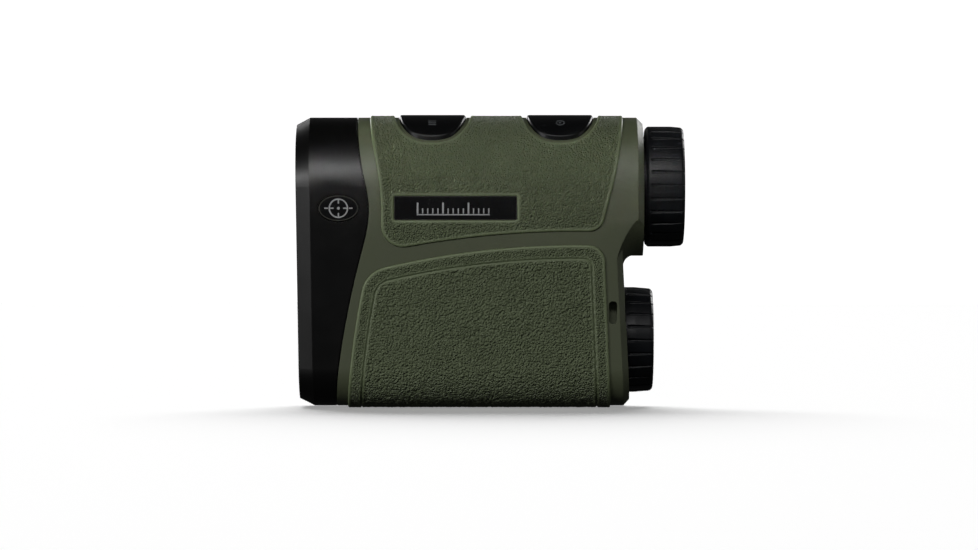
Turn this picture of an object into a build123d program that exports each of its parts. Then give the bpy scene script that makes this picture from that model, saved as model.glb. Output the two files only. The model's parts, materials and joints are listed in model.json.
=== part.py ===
"""Handheld laser rangefinder: a monocular sight above a laser transmitter, in one hand-sized body.

Millimetres. +X runs from the objective to the eyepiece, +Z is up, and the origin is the centre of
the base that the body stands on. Every function below makes one piece or one group of like pieces.
"""
from build123d import *
import os
from math import asin, atan, atan2, copysign, cos, degrees, hypot, pi, sin, sqrt

# ---------------------------------------------------------------- body section (seen along X)
TUBE_RADIUS = 17.25        # smooth skin of the sight tube
TUBE_HEIGHT = 55.0         # optical axis above the base
CORNER_RADIUS = 9.5        # rounding of the two lower edges
CORNER_Y = 6.35            # half the distance between the centres of the lower roundings
GRIP_LIFT = 0.5            # the grip panels stand this far proud of the smooth skin
CORNER_HEIGHT = GRIP_LIFT + CORNER_RADIUS
WALL = 1.8                 # moulded wall
FIT = 0.05                 # radial play of a running fit
SEAT = 0.15                # play round a piece that is only dropped into place
GAP = 0.3                  # play between hand-moved pieces and the body

# ---------------------------------------------------------------- lengths along the body
OVER_TOP_Z = TUBE_HEIGHT + TUBE_RADIUS + 3.75      # above everything
FRONT_X = -47.95           # front face, at the level of the sight tube
FRONT_LEAN = 0.9           # degrees that the front face leans back towards the base
NECK_X = 38.0              # rear face of the sight tube
REAR_X = 33.6              # rear face of the lower body, half way up it
REAR_LEAN = 2.9            # degrees that the lower rear face leans out towards the base
REAR_PIVOT_Z = 20.0
REAR_TOP_Z = TUBE_HEIGHT - 19.2     # where the lower rear face turns back along the sight tube
# (x, radius) of the flank's turn back to the tube
FLARE = [(NECK_X - 6.9, TUBE_RADIUS + 8.15), (NECK_X - 5.0, TUBE_RADIUS + 4.25), (NECK_X + 0.2, TUBE_RADIUS + 1.05)]
COVE_RADIUS = 2.6          # fillet under the neck
EDGE_BEVEL = 1.5           # bevel of the rear edges
FRONT_BEVEL_IN = 1.8       # front bevel, measured inwards
FRONT_BEVEL_LENGTH = 3.5   # front bevel, measured along the body
REAR_WALL_X = REAR_X - 3.0 # inner face of the lower rear wall
NECK_WALL_X = NECK_X - 2.5 # inner face of the neck's rear wall
PARTING_GROOVE = 0.3       # shadow line between bezel and body

# the bezel's rear edge, as (x, z) seen from the side
PARTING = [(-32.8, OVER_TOP_Z), (-32.5, TUBE_HEIGHT + 12), (-31.2, TUBE_HEIGHT + 3), (-29.8, TUBE_HEIGHT - 5),
           (-30.0, TUBE_HEIGHT - 9.5), (-32.0, 36.8), (-35.3, 22), (-37.2, 10), (-37.9, -3)]

# ---------------------------------------------------------------- grip panels
GRIP_SINK = 0.7            # depth of the pocket that a panel is bonded into
GROOVE_INSET = 3.1         # the decorative groove runs this far inside the lower panel's edge
GROOVE_WIDTH = 0.5
GROOVE_DEPTH = 0.35
UPPER_GRIP_LEFT = [(-29.8, OVER_TOP_Z), (-28.9, TUBE_HEIGHT + 10), (-27.2, TUBE_HEIGHT), (-26.8, TUBE_HEIGHT - 6.5),
                   (-27.3, TUBE_HEIGHT - 16.6)]
UPPER_GRIP_LOW = [(-27.3, TUBE_HEIGHT - 16.6), (1.0, TUBE_HEIGHT - 12.3), (27.6, TUBE_HEIGHT - 11.5)]
UPPER_GRIP_RIGHT = [(27.6, TUBE_HEIGHT - 11.5), (29.0, TUBE_HEIGHT - 5), (30.6, TUBE_HEIGHT + 1), (32.2, TUBE_HEIGHT + 10),
                    (33.4, OVER_TOP_Z)]
UPPER_GRIP_CORNERS = (5.5, 4.0)
LOWER_GRIP_LEFT = [(-35.4, -4), (-33.7, 16.2), (-30.6, TUBE_HEIGHT - 21.4)]
LOWER_GRIP_TOP = [(-30.6, TUBE_HEIGHT - 21.4), (-6.0, TUBE_HEIGHT - 16.6), (28.2, TUBE_HEIGHT - 14.9)]
LOWER_GRIP_RIGHT = [(28.2, TUBE_HEIGHT - 14.9), (30.0, -4)]
LOWER_GRIP_CORNERS = (7.5, 4.2)
GROOVE_CORNERS = (4.6, 2.4)

# ---------------------------------------------------------------- buttons
BUTTON_LENGTH = 16.4       # along X
BUTTON_WIDTH = 25.8        # across the tube
BUTTON_SQUARENESS = 3.0    # exponent of the outline
BUTTON_XS = {"menu": -14.3, "measure": 17.4}
BUTTON_TRAVEL = 0.6
BUTTON_RIM = 1.2           # smooth ring left bare round each button
BUTTON_CROWN = 0.15        # button top above the grip panel
BUTTON_ROUND = 0.6         # rounding of its top edge
BUTTON_FLANGE = 0.8        # how far the retaining flange reaches under the wall
BUTTON_PLAY = 0.2
STEM_RADIUS = 2.2
SWITCH_BOARD_Z = TUBE_HEIGHT + TUBE_RADIUS - WALL - 6.65

# ---------------------------------------------------------------- eyepiece
RING_X = NECK_X + 0.6      # front rim of the dioptre ring
SLEEVE_REAR_X = RING_X + 6.8
EYE_X = RING_X + 9.6       # rear rim of the eyecup
RING_GROOVES = 28
RING_GROOVE_DEPTH = 0.55
TUBE_OUTER = 12.5          # fixed eyepiece tube
TUBE_INNER = TUBE_OUTER - 1.9
TUBE_THREAD = TUBE_OUTER - 0.55     # the tube where it passes the neck wall
CELL_OUTER = TUBE_INNER - FIT
CELL_INNER = CELL_OUTER - 1.65
CELL_X = NECK_X - 9.0      # front end of the eyepiece cell
LENS_RADIUS = CELL_INNER - FIT
PIN_X = RING_X + 2.6
PIN_RADIUS = 0.75
EYE_LEAD = 3.0             # axial travel for one turn of the dioptre ring
EYE_TURN = 130.0           # degrees each way
SLEEVE_OUTER = TUBE_OUTER + 1.2
SLEEVE_INNER = TUBE_OUTER + FIT
RING_RADIUS = SLEEVE_OUTER + 1.3
STOP_RADIUS = SLEEVE_INNER + 0.4
STOP_X = RING_X + 5.2      # front face of the stop ring

# ---------------------------------------------------------------- battery compartment
BATTERY_HEIGHT = 16.8      # axis above the base
BATTERY_RADIUS = 7.8
BATTERY_LENGTH = 26.0      # without the positive button
BATTERY_TUBE_INNER = BATTERY_RADIUS + 0.35
BATTERY_TUBE_OUTER = BATTERY_TUBE_INNER + 1.0
THREAD_ROOT = BATTERY_TUBE_OUTER + 0.6      # root radius of the cap's thread
THREAD_BORE = THREAD_ROOT + 1.0             # root radius of the body's thread
CAP_CORE_RADIUS = THREAD_BORE + 1.05        # hard core inside the rubber grip
CAP_RADIUS = CAP_CORE_RADIUS + 1.3
CAP_HOLLOW = THREAD_ROOT - 1.25             # bore of the cap round its contact
CAP_BORE_X = REAR_X - 1.0  # floor of the recess round the cap
CAP_X = CAP_BORE_X + 0.35
CAP_REAR_X = CAP_X + 7.55
CAP_HOLLOW_X = CAP_X + 3.55
BATTERY_X = CAP_BORE_X - 4.2 - BATTERY_LENGTH      # flat negative end
CONTACT_X = BATTERY_X - 2.4                 # rear face of the contact disc
CAP_SKIN = 0.9             # rubber over the rear of the core
CAP_GROOVES = 24
CAP_GROOVE_DEPTH = 0.6
GROOVE_RUNOUT = 2.5        # degrees that the grip grooves rise towards the rear
THREAD_PITCH = 1.2
THREAD_ENGAGED = 2.2       # turns of ridge on the cap
THREAD_DEPTH = 0.75
THREAD_START_X = CAP_BORE_X - 5.2

# ---------------------------------------------------------------- front optics
OBJECTIVE_RADIUS = 10.35
LASER_LENS_RADIUS = 8.2
OBJECTIVE_CELL_RADIUS = OBJECTIVE_RADIUS + 1.65
LASER_BARREL_RADIUS = LASER_LENS_RADIUS + 1.2
LASER_HEIGHT = 23.5
LASER_REAR_X = -20.2       # rear face of the laser barrel
FLANGE_X = FRONT_X + 2.15  # rear face of the bezel's front wall
PLATE_X = FLANGE_X + 1.2   # front face of the frame's front plate
LENS_FRONT_X = FLANGE_X + 0.9
OBJECTIVE_SEAT_X = FLANGE_X + 5.8
OBJECTIVE_REAR_X = FLANGE_X + 14.8
LASER_SEAT_X = FLANGE_X + 4.2
PLATE_THICKNESS = 2.0
RING_REAR_X = NECK_X - 13.2         # rear face of the frame's ring
DECK_Z = TUBE_HEIGHT - 15.5
DECK_THICKNESS = 2.0

THROUGH = 60.0             # longer than anything it has to cut through

SIDE_DRAFT = (asin((TUBE_RADIUS - CORNER_RADIUS) / hypot(CORNER_Y, TUBE_HEIGHT - CORNER_HEIGHT))
              - atan2(CORNER_Y, TUBE_HEIGHT - CORNER_HEIGHT))


# ================================================================ drawing helpers
def across(x=0.0):
    """Sketch plane across the body: local x is Y, local y is Z, and its normal is +X."""
    return Plane(origin=(x, 0, 0), x_dir=(0, 1, 0), z_dir=(1, 0, 0))


def outline(edges):
    return make_face(edges)


def body_section(offset=0.0):
    """Closed section of the body, moved outwards by offset all round."""
    top, low = TUBE_RADIUS + offset, CORNER_RADIUS + offset
    sy, sz = cos(SIDE_DRAFT), -sin(SIDE_DRAFT)
    shoulder = (top * sy, TUBE_HEIGHT + top * sz)
    heel = (CORNER_Y + low * sy, CORNER_HEIGHT + low * sz)
    half = (degrees(-SIDE_DRAFT) - 90) / 2
    mid_y, mid_z = low * cos(half * pi / 180), low * sin(half * pi / 180)
    right = (CORNER_Y + mid_y, CORNER_HEIGHT + mid_z)
    return outline([
        ThreePointArc(shoulder, (0, TUBE_HEIGHT + top), (-shoulder[0], shoulder[1])),
        Line((-shoulder[0], shoulder[1]), (-heel[0], heel[1])),
        ThreePointArc((-heel[0], heel[1]), (-right[0], right[1]), (-CORNER_Y, CORNER_HEIGHT - low)),
        Line((-CORNER_Y, CORNER_HEIGHT - low), (CORNER_Y, CORNER_HEIGHT - low)),
        ThreePointArc((CORNER_Y, CORNER_HEIGHT - low), right, heel),
        Line(heel, shoulder),
    ])


def body_bar(x0, x1, offset=0.0):
    """Bar of the body's section from x0 to x1."""
    return extrude(across(x0) * body_section(offset), x1 - x0)


def bevelled_end(x_end, bevel_in, bevel_along, away, lean=0.0, pivot_z=TUBE_HEIGHT):
    """Cutter that leaves a flat, bevelled end at x_end. away is +1 where the bar ends towards +X."""
    reach = 4 * bevel_along
    tapered = loft([across(x_end) * body_section(-bevel_in),
                    across(x_end - away * reach) * body_section(-bevel_in + reach * bevel_in / bevel_along)],
                   ruled=True)
    block = Pos(x_end + away * (15 - 1.5 * bevel_along), 0, 40) * Box(30 + 0.01, THROUGH * 2, THROUGH * 2)
    cutter = block - tapered
    turn = Pos(x_end, 0, pivot_z) * Rot(0, lean, 0) * Pos(-x_end, 0, -pivot_z)
    return turn * cutter


def rod(x0, x1, radius, height=TUBE_HEIGHT, y=0.0):
    """Cylinder along X."""
    return across(x0) * Pos(y, height, 0) * Cylinder(radius, x1 - x0, align=(Align.CENTER, Align.CENTER, Align.MIN))


def pipe(x0, x1, outer, inner, height=TUBE_HEIGHT):
    return rod(x0, x1, outer, height) - rod(x0 - 1, x1 + 1, inner, height)


def turned(points, height=TUBE_HEIGHT):
    """Solid of revolution about the line at this height. points are (x, radius)."""
    face = Plane.XZ * outline(Polyline(*[(x, height + r) for x, r in points], close=True))
    return revolve(face, Axis((0, 0, height), (1, 0, 0)))


def side_cut(face, half_width=THROUGH):
    """Prism of a face drawn in side view (x, z), through the whole width."""
    return extrude(Plane.XZ * face, half_width, both=True)


def plate(x0, x1, y0, y1, z0, z1):
    return Pos((x0 + x1) / 2, (y0 + y1) / 2, (z0 + z1) / 2) * Box(x1 - x0, y1 - y0, z1 - z0)


def post(x, y, z0, z1, radius):
    """Cylinder along Z."""
    return Pos(x, y, z0) * Cylinder(radius, z1 - z0, align=(Align.CENTER, Align.CENTER, Align.MIN))


def side_plane(x, z, side, offset=0.0):
    """Plane on the flat flank, with its normal pointing out. side is -1 for the user's left, +1 for the right."""
    normal = Vector(0, side * cos(SIDE_DRAFT), -sin(SIDE_DRAFT))
    reach = TUBE_RADIUS / cos(SIDE_DRAFT) - (TUBE_HEIGHT - z) * sin(SIDE_DRAFT) / cos(SIDE_DRAFT)
    on_skin = Vector(x, side * reach, z)
    return Plane(origin=on_skin + normal * offset, x_dir=(-side, 0, 0), z_dir=normal)


def rounded_square(length, width, squareness=BUTTON_SQUARENESS, points=24):
    """Superellipse, in plan view."""
    def at(turn):
        c, s = cos(turn), sin(turn)
        return (length / 2 * copysign(abs(c) ** (2 / squareness), c),
                width / 2 * copysign(abs(s) ** (2 / squareness), s))
    return outline(Spline(*[at(2 * pi * (i + 0.5) / points) for i in range(points)], periodic=True))


def helical_bar(radius, width_in, width_out, depth, pitch, turns, x0, height, lefthand=False):
    """Trapezoid ridge wound round the X line at this height, starting at x0. depth below 0 points inwards."""
    path = Helix(pitch, pitch * turns, radius, lefthand=lefthand)
    section = Plane(path @ 0, x_dir=(1, 0, 0), z_dir=path % 0) * outline(Polyline(
        (0, -width_in / 2), (depth, -width_out / 2), (depth, width_out / 2), (0, width_in / 2), close=True))
    return Pos(x0, 0, height) * Rot(0, 90, 0) * sweep(section, path, is_frenet=True)


def around_x(solid, count, height):
    """Copies of a solid, evenly spaced round the X line at this height."""
    centre, back = Pos(0, 0, height), Pos(0, 0, -height)
    return [centre * Rot(360 * i / count, 0, 0) * back * solid for i in range(count)]


# ================================================================ outer body
def front_region(shift=0.0):
    """Everything in front of the parting line."""
    top, low = PARTING[0], PARTING[-1]
    far = FRONT_X - 10
    return side_cut(outline([
        Spline(*[(x + shift, z) for x, z in PARTING]),
        Polyline((low[0] + shift, low[1]), (far, low[1]), (far, top[1]), (top[0] + shift, top[1])),
    ]))


def under_neck():
    """Side-view region that the cove under the neck leaves standing."""
    low_z = TUBE_HEIGHT - TUBE_RADIUS
    rear = REAR_X - 0.6
    return side_cut(outline([
        RadiusArc((rear, low_z - COVE_RADIUS), (rear + COVE_RADIUS, low_z), COVE_RADIUS),
        Polyline((rear + COVE_RADIUS, low_z), (NECK_X + 5, low_z), (NECK_X + 5, OVER_TOP_Z + 4), (20, OVER_TOP_Z + 4),
                 (20, REAR_TOP_Z - 6), (rear, REAR_TOP_Z - 6), (rear, low_z - COVE_RADIUS)),
    ]))


def flare():
    """Everything inside the curve that carries the flank back along the sight tube."""
    profile = [(x, TUBE_HEIGHT + r) for x, r in FLARE]
    (x0, z0), (x1, z1) = profile[0], profile[-1]
    face = Plane.XZ * outline([
        ThreePointArc(*profile),
        Polyline((x1, z1), (x1 + 5, z1), (x1 + 5, TUBE_HEIGHT), (20, TUBE_HEIGHT), (20, z0), (x0, z0)),
    ])
    return revolve(face, Axis((0, 0, TUBE_HEIGHT), (1, 0, 0)))


def outer_skin():
    """The closed outside of body and bezel together."""
    low = body_bar(FRONT_X - 1, REAR_X + 4)
    low -= bevelled_end(REAR_X, EDGE_BEVEL, EDGE_BEVEL, 1, -REAR_LEAN, REAR_PIVOT_Z)
    neck = turned([(0, 0), (0, TUBE_RADIUS), (NECK_X - EDGE_BEVEL, TUBE_RADIUS), (NECK_X, TUBE_RADIUS - EDGE_BEVEL),
                   (NECK_X, 0)])
    wing = body_bar(20, NECK_X + 1) & under_neck() & flare()
    wing -= bevelled_end(NECK_X, EDGE_BEVEL, EDGE_BEVEL, 1)
    return low + neck + wing


def grip_shell():
    """Tube of material that both grip panels are cut from."""
    return body_bar(FRONT_X, NECK_X, GRIP_LIFT) - body_bar(FRONT_X - 1, NECK_X + 1, -GRIP_SINK)


def corner_at(face, point):
    return min(face.vertices(), key=lambda v: hypot(v.X - point[0], v.Y - point[1]))


def rounded_corners(face, points, radii):
    for point, radius in zip(points, radii):
        face = fillet(corner_at(face, point), radius)
    return face


def upper_grip():
    face = outline([Spline(*UPPER_GRIP_LEFT), ThreePointArc(*UPPER_GRIP_LOW), Spline(*UPPER_GRIP_RIGHT),
                    Line(UPPER_GRIP_RIGHT[-1], UPPER_GRIP_LEFT[0])])
    face = rounded_corners(face, (UPPER_GRIP_LOW[0], UPPER_GRIP_LOW[-1]), UPPER_GRIP_CORNERS)
    panel = grip_shell() & side_cut(face)
    for x in BUTTON_XS.values():
        hole = rounded_square(BUTTON_LENGTH + 2 * BUTTON_RIM, BUTTON_WIDTH + 2 * BUTTON_RIM)
        panel -= extrude(Pos(x, 0, TUBE_HEIGHT) * hole, THROUGH)
    for side in (-1, 1):
        panel -= nameplate_block(side, 0.0)
    return panel


def lower_grip():
    drawn = outline([ThreePointArc(*LOWER_GRIP_LEFT), ThreePointArc(*LOWER_GRIP_TOP), Line(*LOWER_GRIP_RIGHT),
                     Line(LOWER_GRIP_RIGHT[-1], LOWER_GRIP_LEFT[0])])
    corners = (LOWER_GRIP_TOP[0], LOWER_GRIP_TOP[-1])
    panel = grip_shell() & side_cut(rounded_corners(drawn, corners, LOWER_GRIP_CORNERS))
    inner = rounded_corners(offset(drawn, -GROOVE_INSET), corners, GROOVE_CORNERS)
    innermost = rounded_corners(offset(drawn, -GROOVE_INSET - GROOVE_WIDTH), corners,
                                [radius - GROOVE_WIDTH for radius in GROOVE_CORNERS])
    # the groove runs off the base, so both outlines are carried down past it
    carry = Pos(0, -GROOVE_INSET - 2, 0)
    ring = side_cut((inner + carry * inner) - (innermost + carry * innermost))
    lowest = plate(FRONT_X, NECK_X, -THROUGH, THROUGH, -20, -1)
    groove = (grip_shell() - body_bar(FRONT_X, NECK_X, GRIP_LIFT - GROOVE_DEPTH)) & (ring - lowest)
    return panel - groove


# ================================================================ trim
NAMEPLATE = {"x": -8.45, "z": TUBE_HEIGHT - 5.65, "length": 30.3, "height": 5.9}
NAMEPLATE_THICKNESS = 0.8
NAMEPLATE_SINK = 0.15      # below the grip's surface
BADGE = {"x": FRONT_X + 10.65, "z": TUBE_HEIGHT - 5.7, "length": 10.4, "height": 7.0}
BADGE_RIM = 0.35
BADGE_POCKET = 0.9
BADGE_THICKNESS = 0.7


def nameplate_block(side, inset):
    """Pocket for a nameplate, or the plate itself where inset is above 0."""
    seat = side_plane(NAMEPLATE["x"], NAMEPLATE["z"], side, GRIP_LIFT - NAMEPLATE_THICKNESS - NAMEPLATE_SINK)
    shape = Rectangle(NAMEPLATE["length"] - 2 * inset, NAMEPLATE["height"] - 2 * inset)
    depth = NAMEPLATE_THICKNESS if inset else THROUGH / 10
    return extrude(seat * fillet(shape.vertices(), 0.4), depth)


def nameplate(side):
    return nameplate_block(side, 0.05)


def badge_pocket(side):
    seat = side_plane(BADGE["x"], BADGE["z"], side, -BADGE_POCKET)
    return extrude(seat * Ellipse(BADGE["length"] / 2, BADGE["height"] / 2), THROUGH / 10)


def badge(side):
    seat = side_plane(BADGE["x"], BADGE["z"], side, -BADGE_POCKET)
    shape = Ellipse(BADGE["length"] / 2 - BADGE_RIM, BADGE["height"] / 2 - BADGE_RIM)
    return extrude(seat * shape, BADGE_THICKNESS)


SLOT_X = REAR_X - 4.3      # front edge of the slot in the left flank
SLOT_Z = (20.8, 26.4)
SLOT_DEPTH = 4.25          # in from the sight tube's widest point


def lanyard_slot():
    """L-shaped way for a cord: in at the left flank, out at the rear face, round a corner post."""
    low, high = SLOT_Z
    deep = SLOT_DEPTH - TUBE_RADIUS
    flank = plate(SLOT_X, SLOT_X + 2.0, -THROUGH, deep, low, high)
    flank = fillet(flank.edges().filter_by(Axis.Y), 0.9)
    rear = plate(SLOT_X, THROUGH, deep - 1.9, deep, low, high)
    rear = fillet(rear.edges().filter_by(Axis.X), 0.85)
    return flank + rear


def button_openings():
    """The two holes through the top wall."""
    shape = rounded_square(BUTTON_LENGTH + 2 * BUTTON_PLAY, BUTTON_WIDTH + 2 * BUTTON_PLAY)
    return [extrude(Pos(x, 0, TUBE_HEIGHT) * shape, THROUGH) for x in BUTTON_XS.values()]


def main_housing(skin, grips):
    body = skin - front_region()
    body -= body_bar(FRONT_X, REAR_WALL_X, -WALL)
    body -= rod(0, NECK_WALL_X, TUBE_RADIUS - WALL)
    body -= rod(NECK_WALL_X - 1, NECK_X + 1, TUBE_THREAD + FIT)
    inside = body_bar(FRONT_X, REAR_WALL_X + 1, -WALL / 2)
    boss = rod(THREAD_START_X - 5.4, CAP_BORE_X, BATTERY_TUBE_OUTER + 3.2, BATTERY_HEIGHT) & inside
    pocket_wall = plate(SLOT_X - 1.7, REAR_WALL_X + 1, -THROUGH, SLOT_DEPTH + 1.5 - TUBE_RADIUS, SLOT_Z[0] - 1.5,
                        SLOT_Z[1] + 1.5) & inside
    body += boss + pocket_wall
    body -= rod(THREAD_START_X - 7.4, THREAD_START_X, BATTERY_TUBE_OUTER + SEAT / 2, BATTERY_HEIGHT)
    body -= rod(THREAD_START_X - 0.4, THROUGH, THREAD_BORE, BATTERY_HEIGHT)
    body -= rod(CAP_BORE_X, THROUGH, CAP_RADIUS + GAP, BATTERY_HEIGHT)
    body -= lanyard_slot()
    for opening in button_openings():
        body -= opening
    for x, y in FOOT_SPOTS:
        body += post(x, y, GRIP_LIFT + WALL - 0.4, FOOT_TOP, 4.0) & inside
        body -= post(x, y, -1, FOOT_TOP + 1, 1.3)
        body -= post(x, y, -1, SCREW_SEAT_Z, 2.3)
    for x, z in BOARD_CORNERS:
        rise = Plane(origin=(x, BOARD_Y + BOARD_THICKNESS, z), z_dir=(0, 1, 0))
        body += (rise * Cylinder(2.0, TUBE_RADIUS, align=(Align.CENTER, Align.CENTER, Align.MIN))) & inside
        body -= rise * Cylinder(0.8, 1.6, align=(Align.CENTER, Align.CENTER, Align.MIN))
    for grip in grips:
        body -= grip
    for side in (-1, 1):
        body -= nameplate_block(side, 0.0)
    return body + body_thread()


def body_thread():
    """Ridge inside the body's battery bore."""
    return helical_bar(THREAD_BORE + 0.05, 0.6, 0.3, -THREAD_DEPTH - 0.05, THREAD_PITCH, THREAD_ENGAGED - 0.5,
                       THREAD_START_X + 0.5 + THREAD_PITCH / 2, BATTERY_HEIGHT)


def front_bezel(skin):
    shell = skin & front_region()
    shell -= bevelled_end(FRONT_X, FRONT_BEVEL_IN, FRONT_BEVEL_LENGTH, -1, -FRONT_LEAN)
    shell -= body_bar(FLANGE_X, 0, -WALL)
    lip = front_region() - front_region(-PARTING_GROOVE)
    shell -= lip & (body_bar(FRONT_X, 0, 1) - body_bar(FRONT_X, 0, -0.5))
    for side in (-1, 1):
        shell -= badge_pocket(side)
    for x, z in BEZEL_SCREWS:
        shell += rod(FLANGE_X - 0.2, PLATE_X, 2.2, z, x)
    for x, z in BEZEL_SCREWS:
        shell -= rod(FLANGE_X - 1.0, 0, 0.8, z, x)
    for radius, height, dish in ((OBJECTIVE_RADIUS + 0.65, TUBE_HEIGHT, 0.8), (LASER_LENS_RADIUS + 0.8, LASER_HEIGHT, 1.1)):
        mouth = radius + 1.7 + (dish - 0.8) * 2 / 3
        shell -= turned([(FRONT_X - 1, 0), (FRONT_X - 1, mouth), (FRONT_X + dish, radius + 0.2), (FRONT_X + 4, radius),
                         (FRONT_X + 4, 0)], height)
    return shell


# ================================================================ buttons and switch board
def button(x):
    shape = Pos(x, 0, TUBE_HEIGHT) * rounded_square(BUTTON_LENGTH, BUTTON_WIDTH)
    wide = Pos(x, 0, TUBE_HEIGHT) * rounded_square(BUTTON_LENGTH + 2 * BUTTON_FLANGE, BUTTON_WIDTH + 2 * BUTTON_FLANGE)
    ends = (x - BUTTON_LENGTH / 2 - 3.8, x + BUTTON_LENGTH / 2 + 3.8)
    under_wall = TUBE_RADIUS - WALL - BUTTON_PLAY
    top = TUBE_RADIUS + GRIP_LIFT + BUTTON_CROWN
    cap = extrude(shape, THROUGH) & (rod(*ends, top) - rod(*ends, under_wall - 0.5))
    rim = [e for e in cap.edges() if all(abs(hypot((e @ t).Y, (e @ t).Z - TUBE_HEIGHT) - top) < 0.001 for t in (0, 0.3))]
    cap = fillet(rim, BUTTON_ROUND)
    flange = extrude(wide, THROUGH) & (rod(*ends, under_wall) - rod(*ends, under_wall - 0.9))
    stem = post(x, 0, SWITCH_TOP + BUTTON_TRAVEL + 0.1, TUBE_HEIGHT + under_wall - 0.4, STEM_RADIUS)
    return cap + flange + stem


SWITCH_BOARD_THICKNESS = 1.0
SWITCH_HEIGHT = 1.2
MEMBRANE = 0.7
SWITCH_TOP = SWITCH_BOARD_Z + SWITCH_BOARD_THICKNESS + SWITCH_HEIGHT + MEMBRANE
SWITCH_BOARD = (BUTTON_XS["menu"] - 6.7, BUTTON_XS["measure"] + 4.6, -6.6, 6.6)


def switch_board():
    x0, x1, y0, y1 = SWITCH_BOARD
    return plate(x0, x1, y0, y1, SWITCH_BOARD_Z, SWITCH_BOARD_Z + SWITCH_BOARD_THICKNESS)


def tactile_switches():
    base = SWITCH_BOARD_Z + SWITCH_BOARD_THICKNESS
    return [plate(x - 2.6, x + 2.6, -2.6, 2.6, base, base + SWITCH_HEIGHT - 0.3)
            + post(x, 0, base, base + SWITCH_HEIGHT, 1.3) for x in BUTTON_XS.values()]


def button_membrane():
    """Silicone sheet over the switches, with a skirt down to the board."""
    x0, x1, y0, y1 = SWITCH_BOARD
    base = SWITCH_BOARD_Z + SWITCH_BOARD_THICKNESS
    sheet = plate(x0, x1, y0, y1, base, SWITCH_TOP)
    sheet -= plate(x0 + 1, x1 - 1, y0 + 1, y1 - 1, base - 1, base + SWITCH_HEIGHT)
    return sheet


# ================================================================ eyepiece
def eyepiece_tube():
    tube = turned([(NECK_X - 12, TUBE_INNER), (NECK_X - 12, TUBE_THREAD), (NECK_X, TUBE_THREAD), (NECK_X, TUBE_OUTER),
                   (STOP_X, TUBE_OUTER), (STOP_X, TUBE_OUTER - 0.5), (STOP_X + 1.1, TUBE_OUTER - 0.5),
                   (STOP_X + 1.1, TUBE_INNER)])
    travel = EYE_LEAD * EYE_TURN / 360
    half = travel + PIN_RADIUS + 0.15
    width = PIN_RADIUS + FIT
    return tube - plate(PIN_X - half, PIN_X + half, -width, width, TUBE_HEIGHT + TUBE_INNER - 1, TUBE_HEIGHT + TUBE_OUTER + 1)


def eyepiece_nut():
    outer = TUBE_THREAD + 2.05
    ring = pipe(NECK_WALL_X - 2.1, NECK_WALL_X, outer, TUBE_THREAD)
    notch = plate(NECK_WALL_X - 3, NECK_WALL_X - 1.2, -1, 1, TUBE_HEIGHT + outer - 1, TUBE_HEIGHT + outer + 1)
    notches = around_x(notch, 4, TUBE_HEIGHT)
    return ring - notches


def eyepiece_cell():
    lip, groove, x = CELL_INNER - 1.0, CELL_OUTER - 0.95, CELL_X
    body = turned([(x, lip), (x, CELL_OUTER), (x + 1.9, CELL_OUTER), (x + 1.9, groove), (x + 3.0, groove),
                   (x + 3.0, CELL_OUTER), (x + 15.5, CELL_OUTER), (x + 15.5, CELL_INNER), (x + 1.6, CELL_INNER),
                   (x + 1.6, lip)])
    return body - post(PIN_X, 0, TUBE_HEIGHT + CELL_INNER + 0.3, TUBE_HEIGHT + TUBE_OUTER, PIN_RADIUS)


def cam_pin():
    return post(PIN_X, 0, TUBE_HEIGHT + CELL_INNER + 0.3, TUBE_HEIGHT + SLEEVE_OUTER - 0.2, PIN_RADIUS)


def o_ring(x, ring_radius, wire, height):
    face = Plane.XZ * (Pos(x, height + ring_radius) * Circle(wire))
    return revolve(face, Axis((0, 0, height), (1, 0, 0)))


def dioptre_sleeve():
    sleeve = turned([(RING_X + 0.1, SLEEVE_INNER), (RING_X + 0.1, SLEEVE_OUTER), (SLEEVE_REAR_X, SLEEVE_OUTER),
                     (SLEEVE_REAR_X, STOP_RADIUS + 0.1), (STOP_X - 0.1, STOP_RADIUS + 0.1), (STOP_X - 0.1, SLEEVE_INNER)])
    turns = (EYE_TURN + 12) / 180
    slot = helical_bar(SLEEVE_INNER - 0.6, 2 * PIN_RADIUS + 0.3, 2 * PIN_RADIUS + 0.3, 2.4, EYE_LEAD, turns,
                       PIN_X - EYE_LEAD * turns / 2, TUBE_HEIGHT, lefthand=True)
    # the helix starts on local +X, which lies at -Z once it is laid along the body
    start = 180 + turns * 180
    centre = Pos(0, 0, TUBE_HEIGHT) * Rot(start, 0, 0) * Pos(0, 0, -TUBE_HEIGHT)
    return sleeve - centre * slot


def stop_ring():
    return pipe(STOP_X, STOP_X + 1.0, STOP_RADIUS, TUBE_OUTER - 0.5)


def finger_groove(x, radius, depth, height):
    """Cutter for one groove of a grip, deepest at its front end."""
    cutter = post(0, 0, 0, 12.0, 0.55)
    return Pos(x, 0, height + radius + 0.55 - depth) * Rot(0, 90 - GROOVE_RUNOUT, 0) * cutter


def dioptre_ring():
    """Ribbed rubber ring: wide lands with narrow grooves between them."""
    lip = SLEEVE_OUTER - 0.5
    ring = turned([(RING_X, SLEEVE_OUTER), (RING_X, RING_RADIUS - 0.7), (RING_X + 0.7, RING_RADIUS),
                   (RING_X + 6.4, RING_RADIUS), (EYE_X - 0.6, RING_RADIUS - 0.25), (EYE_X, RING_RADIUS - 0.8), (EYE_X, lip),
                   (SLEEVE_REAR_X, lip), (SLEEVE_REAR_X, SLEEVE_OUTER)])
    return ring - around_x(finger_groove(RING_X + 1.3, RING_RADIUS, RING_GROOVE_DEPTH, TUBE_HEIGHT), RING_GROOVES, TUBE_HEIGHT)


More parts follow.
